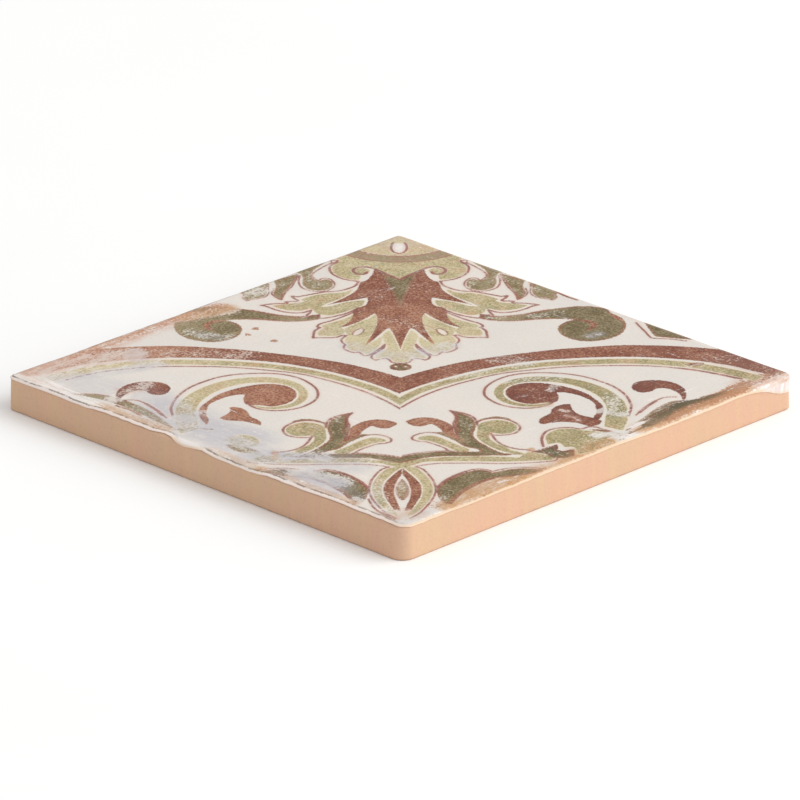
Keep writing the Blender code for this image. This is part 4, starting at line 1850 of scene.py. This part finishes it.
@dataclass
class GlazeCoat:
    """The glazed coat: a fine grid over the face, whose border runs down over the rim."""

    rim: Rim
    pitch: float = 0.51
    border: float = 3.0
    border_steps: int = 10
    side_inset: float = 0.06
    lip: float = 0.12
    underside: float = 8.6
    underside_inset: float = 1.4
    hidden_drop: float = 2.0

    # The bead stands at this distance from the glaze's edge, and is about this wide
    bead_spot: float = 0.35
    bead_width: float = 0.28

    # How far the face sways up and down, and how fast and from where its waves run along X and Y
    sway: float = 0.035
    sway_rates: tuple[float, float] = (0.11, 0.09)
    sway_starts: tuple[float, float] = (0.4, 1.1)

    # The flat map shows this much to each side, with the hidden faces small in one corner
    map_half: float = 84.0
    hidden_spot: float = 0.012
    hidden_share: float = 0.02

    # The outlines are drawn as they are seen along the camera's slant at this level
    drawn_level: float = 9.7
    lowest_drawn: float = 9.2
    drawn_slant: float = 2.46

    # The glaze has a bulge here, and the dark line behind the bead is faint over most of it
    bulge_spot: tuple[float, float] = (-57.3, 57.3)
    bulge_reach: tuple[float, float] = (8.0, 4.0)

    def lines(self) -> np.ndarray:
        """Gives where the grid's lines run.

        Returns:
            Their places, closer together at the border.
        """
        inner = HALF_SIDE - self.border
        count = round(2 * inner / self.pitch)
        edge = np.linspace(inner, HALF_SIDE, self.border_steps + 1)[1:]
        return np.concatenate([-edge[::-1], np.linspace(-inner, inner, count + 1), edge])

    def surface(self, x: np.ndarray, y: np.ndarray) -> tuple[np.ndarray, ...]:
        """Places the grid's points on the tile.

        Args:
            x: Their X in a plain square.
            y: Their Y in a plain square.

        Returns:
            The points, their places in the flat map, their distances from the glaze's edge, how
            far they lie below the face, and how far they are drawn in.
        """
        turn = way_round(x, y)
        width = self.rim.widths(turn)
        drop = self.rim.drops(turn)
        fall = THICKNESS - self.rim.glaze_edge(turn)
        steepest = np.arccos(np.clip(1 - fall / drop, 0.0, 1.0))
        down = np.maximum(fall - drop, 0.0)
        level = self.border - width
        arc = steepest * (width + drop) / 2
        whole = level + arc + down
        inset = HALF_SIDE - np.maximum(np.abs(x), np.abs(y))
        share = np.clip(1 - inset / self.border, 0.0, 1.0)
        way = share * whole

        angle = steepest * np.clip((way - level) / arc, 0.0, 1.0)
        side = np.where(way <= level, self.border - way, width * (1 - np.sin(angle)))
        height = np.where(way <= level, 0.0, drop * (1 - np.cos(angle)))
        height += np.clip(way - level - arc, 0.0, None)
        bead = np.exp(-(((whole - way) - self.bead_spot) / self.bead_width) ** 2) * (share > 0)
        side = side + self.side_inset * (1 - bead) * ease(share, 0.2, 0.8)
        side = np.where(share > 0, side, inset)
        rise = np.cos(self.sway_rates[0] * x + self.sway_starts[0])
        rise *= np.cos(self.sway_rates[1] * y + self.sway_starts[1])
        sway = self.sway * (1 - rise) * ease(inset, 0.0, 2 * self.border)
        points = np.column_stack([draw_in(x, y, side), THICKNESS - height - sway])
        unrolled = draw_in(x, y, np.where(share > 0, self.border - way, inset))
        rim = whole - way + np.maximum(inset - self.border, 0.0)
        return points, unrolled, rim, height, side

    def build(self) -> bpy.types.Object:
        """Builds the coat, dresses it, and stores the ornament's distances on its mesh.

        Returns:
            The coat.
        """
        lines = self.lines()
        count = len(lines)
        x, y = (grid.ravel() for grid in np.meshgrid(lines, lines, indexing="ij"))
        top, unrolled, rim, low, side = self.surface(x, y)

        number = np.arange(count * count).reshape(count, count)
        squares = np.stack(
            [number[:-1, :-1], number[1:, :-1], number[1:, 1:], number[:-1, 1:]], axis=-1
        ).reshape(-1, 4)
        border = np.concatenate(
            [number[:-1, 0], number[-1, :-1], number[:0:-1, -1], number[0, :0:-1]]
        )

        rings = self.tuck(x[border], y[border], side[border], top[border, 2])
        size = len(border)
        ring_numbers = [border]
        for step in range(len(rings)):
            ring_numbers.append(len(top) + step * size + np.arange(size))
        under = []
        for above, below in zip(ring_numbers, ring_numbers[1:]):
            under.append(
                np.stack([above, below, np.roll(below, -1), np.roll(above, -1)], axis=1)
            )
        points = np.vstack([top, *rings])
        faces = squares.tolist() + np.vstack(under).tolist()
        faces.append(ring_numbers[-1][::-1].tolist())

        coat = add_piece("glaze_coat", points, faces, GlazeFinish().make())
        self.unroll(coat, unrolled, len(squares))
        hidden = len(points) - len(rim)
        rim = np.append(rim, np.zeros(hidden))
        low = np.append(low, np.full(hidden, self.hidden_drop))
        self.paint(coat, points, rim, low)
        return coat

    def tuck(
        self,
        x: np.ndarray,
        y: np.ndarray,
        side: np.ndarray,
        level: np.ndarray,
    ) -> list[np.ndarray]:
        """Rolls the coat's edge under, and closes it inside the body.

        Args:
            x: The edge's X in a plain square.
            y: The edge's Y in a plain square.
            side: How far the edge is drawn in.
            level: The edge's height.

        Returns:
            The rings below the edge, each as points.
        """
        rings = []
        for inward, lower in ((0.02, 0.08), (self.lip, 0.1), (self.lip * 2.5, 0.02)):
            rings.append(np.column_stack([draw_in(x, y, side + inward), level - lower]))
        floor = np.full(len(x), self.underside)
        rings.append(np.column_stack([draw_in(x, y, self.underside_inset), floor]))
        return rings

    def unroll(self, coat: bpy.types.Object, unrolled: np.ndarray, squares: int) -> None:
        """Lays the coat out flat in a map, with the hidden underside in a corner.

        Args:
            coat: The coat.
            unrolled: The upper points' places in the flat map.
            squares: How many faces the upper side has.
        """
        mesh = coat.data
        corners = np.zeros(len(mesh.loops), int)
        mesh.loops.foreach_get("vertex_index", corners)
        points = np.zeros(len(mesh.vertices) * 3)
        mesh.vertices.foreach_get("co", points)
        hidden = points.reshape(-1, 3)[:, :2] / MM
        flat = self.hidden_spot + (hidden + HALF_SIDE) / (2 * HALF_SIDE) * self.hidden_share
        seen = 0.5 + unrolled / (2 * self.map_half)
        places = flat[corners]
        upper = squares * 4
        places[:upper] = seen[corners[:upper]]
        layer = mesh.uv_layers.new(name="OFBake")
        layer.data.foreach_set("uv", places.ravel().astype(np.float32))

    def paint(
        self,
        coat: bpy.types.Object,
        points: np.ndarray,
        rim: np.ndarray,
        low: np.ndarray,
    ) -> None:
        """Draws the ornament and stores each paint's distance and each wash's share.

        Args:
            coat: The coat.
            points: Its points.
            rim: Their distances from the glaze's edge.
            low: How far they lie below the face.
        """
        across = (points[:, 0] - points[:, 1]) / ROOT_2
        along = (points[:, 0] + points[:, 1]) / ROOT_2 + HALF_SIDE * ROOT_2
        height = np.maximum(points[:, 2], self.lowest_drawn)
        along += (height - self.drawn_level) * self.drawn_slant
        canvas = Canvas(across, along)
        Ornament(canvas).draw()
        Weathering(canvas).spread()
        layers = {paint.value: canvas.paints[paint] for paint in Paint}
        layers.update({wash.value: canvas.washes[wash] for wash in Wash})
        layers["load"] = canvas.load
        layers["rim"] = rim
        layers["low"] = low
        bulge = np.hypot(across - self.bulge_spot[0], along - self.bulge_spot[1])
        bulge = ease(bulge, *self.bulge_reach)
        layers["seam"] = ease(across, 4.0, -8.0) * (1 - 0.8 * bulge)
        layers["side"] = ease(np.abs(points[:, 0]) - np.abs(points[:, 1]), -4.0, 4.0)
        for name, values in layers.items():
            layer = coat.data.attributes.new(name, "FLOAT", "POINT")
            layer.data.foreach_set("value", values.astype(np.float32))


@dataclass
class ClayBody:
    """The fired clay under the glaze, seen at the sides and the back."""

    rim: Rim
    foot_inset: float = 0.03
    flare: float = 0.3
    sink: float = 0.16
    arris: float = 0.5
    arris_rings: int = 4
    per_side: int = 150
    side_from: float = 1.2
    side_to: float = 8.2
    side_rings: int = 8
    top_rings: int = 7
    unevenness: float = 0.03

    def build(self) -> bpy.types.Object:
        """Builds the body ring by ring, from its back to its hidden top.

        Returns:
            The body.
        """
        along = np.linspace(-HALF_SIDE, HALF_SIDE, self.per_side + 1)[:-1]
        edge = np.full(self.per_side, HALF_SIDE)
        x = np.concatenate([along, edge, -along, -edge])
        y = np.concatenate([-edge, along, edge, -along])
        turn = way_round(x, y)
        width = self.rim.widths(turn)
        drop = self.rim.drops(turn)

        rings = []
        for angle in np.linspace(0.0, math.pi / 2, self.arris_rings):
            rings.append((self.arris * (1 - math.sin(angle)), self.arris * (1 - math.cos(angle))))
        for height in np.linspace(self.side_from, self.side_to, self.side_rings):
            rings.append((0.0, height))
        for angle in np.linspace(0.0, math.pi / 2, self.top_rings):
            side = width * (1 - math.cos(angle))
            rings.append((side, THICKNESS - drop * (1 - math.sin(angle)) - self.sink))
        points = []
        for number, (side, height) in enumerate(rings):
            sway = self.unevenness * np.sin(math.tau * 23 * turn + number * 0.9)
            level = np.broadcast_to(height, x.shape)
            drawn = self.foot_inset + self.flare * level / THICKNESS + side + np.abs(sway)
            points.append(np.column_stack([draw_in(x, y, drawn), level]))

        size = len(x)
        faces = [list(range(size))[::-1]]
        for step in range(len(rings) - 1):
            lower = step * size + np.arange(size)
            upper = lower + size
            faces += np.stack([lower, np.roll(lower, -1), np.roll(upper, -1), upper], axis=1).tolist()
        faces.append([(len(rings) - 1) * size + n for n in range(size)])
        return add_piece("bisque_body", np.vstack(points), faces, ClayFinish().make())


# The studio


@dataclass
class Camera:
    """The camera, where the photograph's perspective puts it."""

    azimuth: float = -45.3022
    elevation: float = 22.118
    distance: float = 2131.5607
    aside: float = 0.2105
    above: float = -2.1781
    focal_pixels: float = 7907.1889
    picture: int = 800
    sensor: float = 36.0

    def place(self) -> bpy.types.Object:
        """Makes the scene's camera.

        Returns:
            The camera.
        """
        turn = math.radians(self.azimuth)
        rise = math.radians(self.elevation)
        level = math.cos(rise)
        back = Vector((math.sin(turn) * level, -math.cos(turn) * level, math.sin(rise)))
        right = Vector((math.cos(turn), math.sin(turn), 0.0))
        up = back.cross(right)
        spot = back * self.distance - right * self.aside - up * self.above
        data = bpy.data.cameras.new("photo_camera")
        data.sensor_width = self.sensor
        data.sensor_fit = "HORIZONTAL"
        data.lens = self.focal_pixels / self.picture * self.sensor
        data.clip_start = 0.05
        data.clip_end = 50.0
        camera = bpy.data.objects.new("photo_camera", data)
        axes = Matrix((right, up, back)).transposed().to_4x4()
        camera.matrix_world = Matrix.Translation(spot * MM) @ axes
        bpy.context.scene.collection.objects.link(camera)
        bpy.context.scene.camera = camera
        return camera


@dataclass
class Studio:
    """A pale floor, an even white surround and a soft light from the right."""

    floor_half: float = 6.0
    floor_tones: tuple[Colour, Colour] = ((0.94, 0.94, 0.94, 1.0), (0.97, 0.97, 0.97, 1.0))
    surround: float = 0.69
    key_power: float = 72.0
    key_size: float = 3.0
    key_colour: tuple[float, float, float] = (1.0, 0.998, 0.972)
    key_spot: tuple[float, float, float] = (1.3, -1.9, 1.7)

    def floor(self) -> bpy.types.Object:
        """Makes the floor.

        Returns:
            The floor.
        """
        mix = Mixer("pale_floor")
        clouds = mix.ramp(mix.noise(300.0, 3.0), 0.3, 0.7)
        tone = mix.blend(clouds, *self.floor_tones)
        mix.plug(mix.shader.inputs["Base Color"], tone)
        mix.shader.inputs["Roughness"].default_value = 0.9
        mix.shader.inputs["Specular IOR Level"].default_value = 0.1
        mesh = bpy.data.meshes.new("floor")
        half = self.floor_half
        corners = [(-half, -half, 0), (half, -half, 0), (half, half, 0), (-half, half, 0)]
        mesh.from_pydata(corners, [], [(0, 1, 2, 3)])
        mesh.materials.append(mix.material)
        floor = bpy.data.objects.new("floor", mesh)
        bpy.context.scene.collection.objects.link(floor)
        return floor

    def light(self) -> None:
        """Lights the scene."""
        scene = bpy.context.scene
        scene.view_settings.view_transform = "Standard"
        scene.view_settings.look = "None"
        world = bpy.data.worlds.new("white_surround")
        world.use_nodes = True
        background = world.node_tree.nodes["Background"]
        background.inputs["Color"].default_value = (1, 1, 1, 1)
        background.inputs["Strength"].default_value = self.surround
        scene.world = world
        data = bpy.data.lights.new("key", "AREA")
        data.energy = self.key_power
        data.size = self.key_size
        data.color = self.key_colour
        key = bpy.data.objects.new("key", data)
        key.location = self.key_spot
        key.rotation_euler = (-Vector(self.key_spot)).to_track_quat("-Z", "Y").to_euler()
        scene.collection.objects.link(key)


def main() -> None:
    """Builds the tile's pieces and the studio in order."""
    logging.basicConfig(level=logging.INFO, format="%(message)s")
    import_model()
    rim = Rim()
    for piece, slot in ((ClayBody(rim).build(), "bisque"), (GlazeCoat(rim).build(), "glaze")):
        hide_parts(TILE_NODE)
        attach(piece, BODY)
        LOG.info("%s: %d faces", piece.name, len(piece.data.polygons))
    studio = Studio()
    LOG.info("%s: the stage", studio.floor().name)
    studio.light()
    LOG.info("%s: the photograph's view", Camera().place().name)


if __name__ == "__main__":
    main()
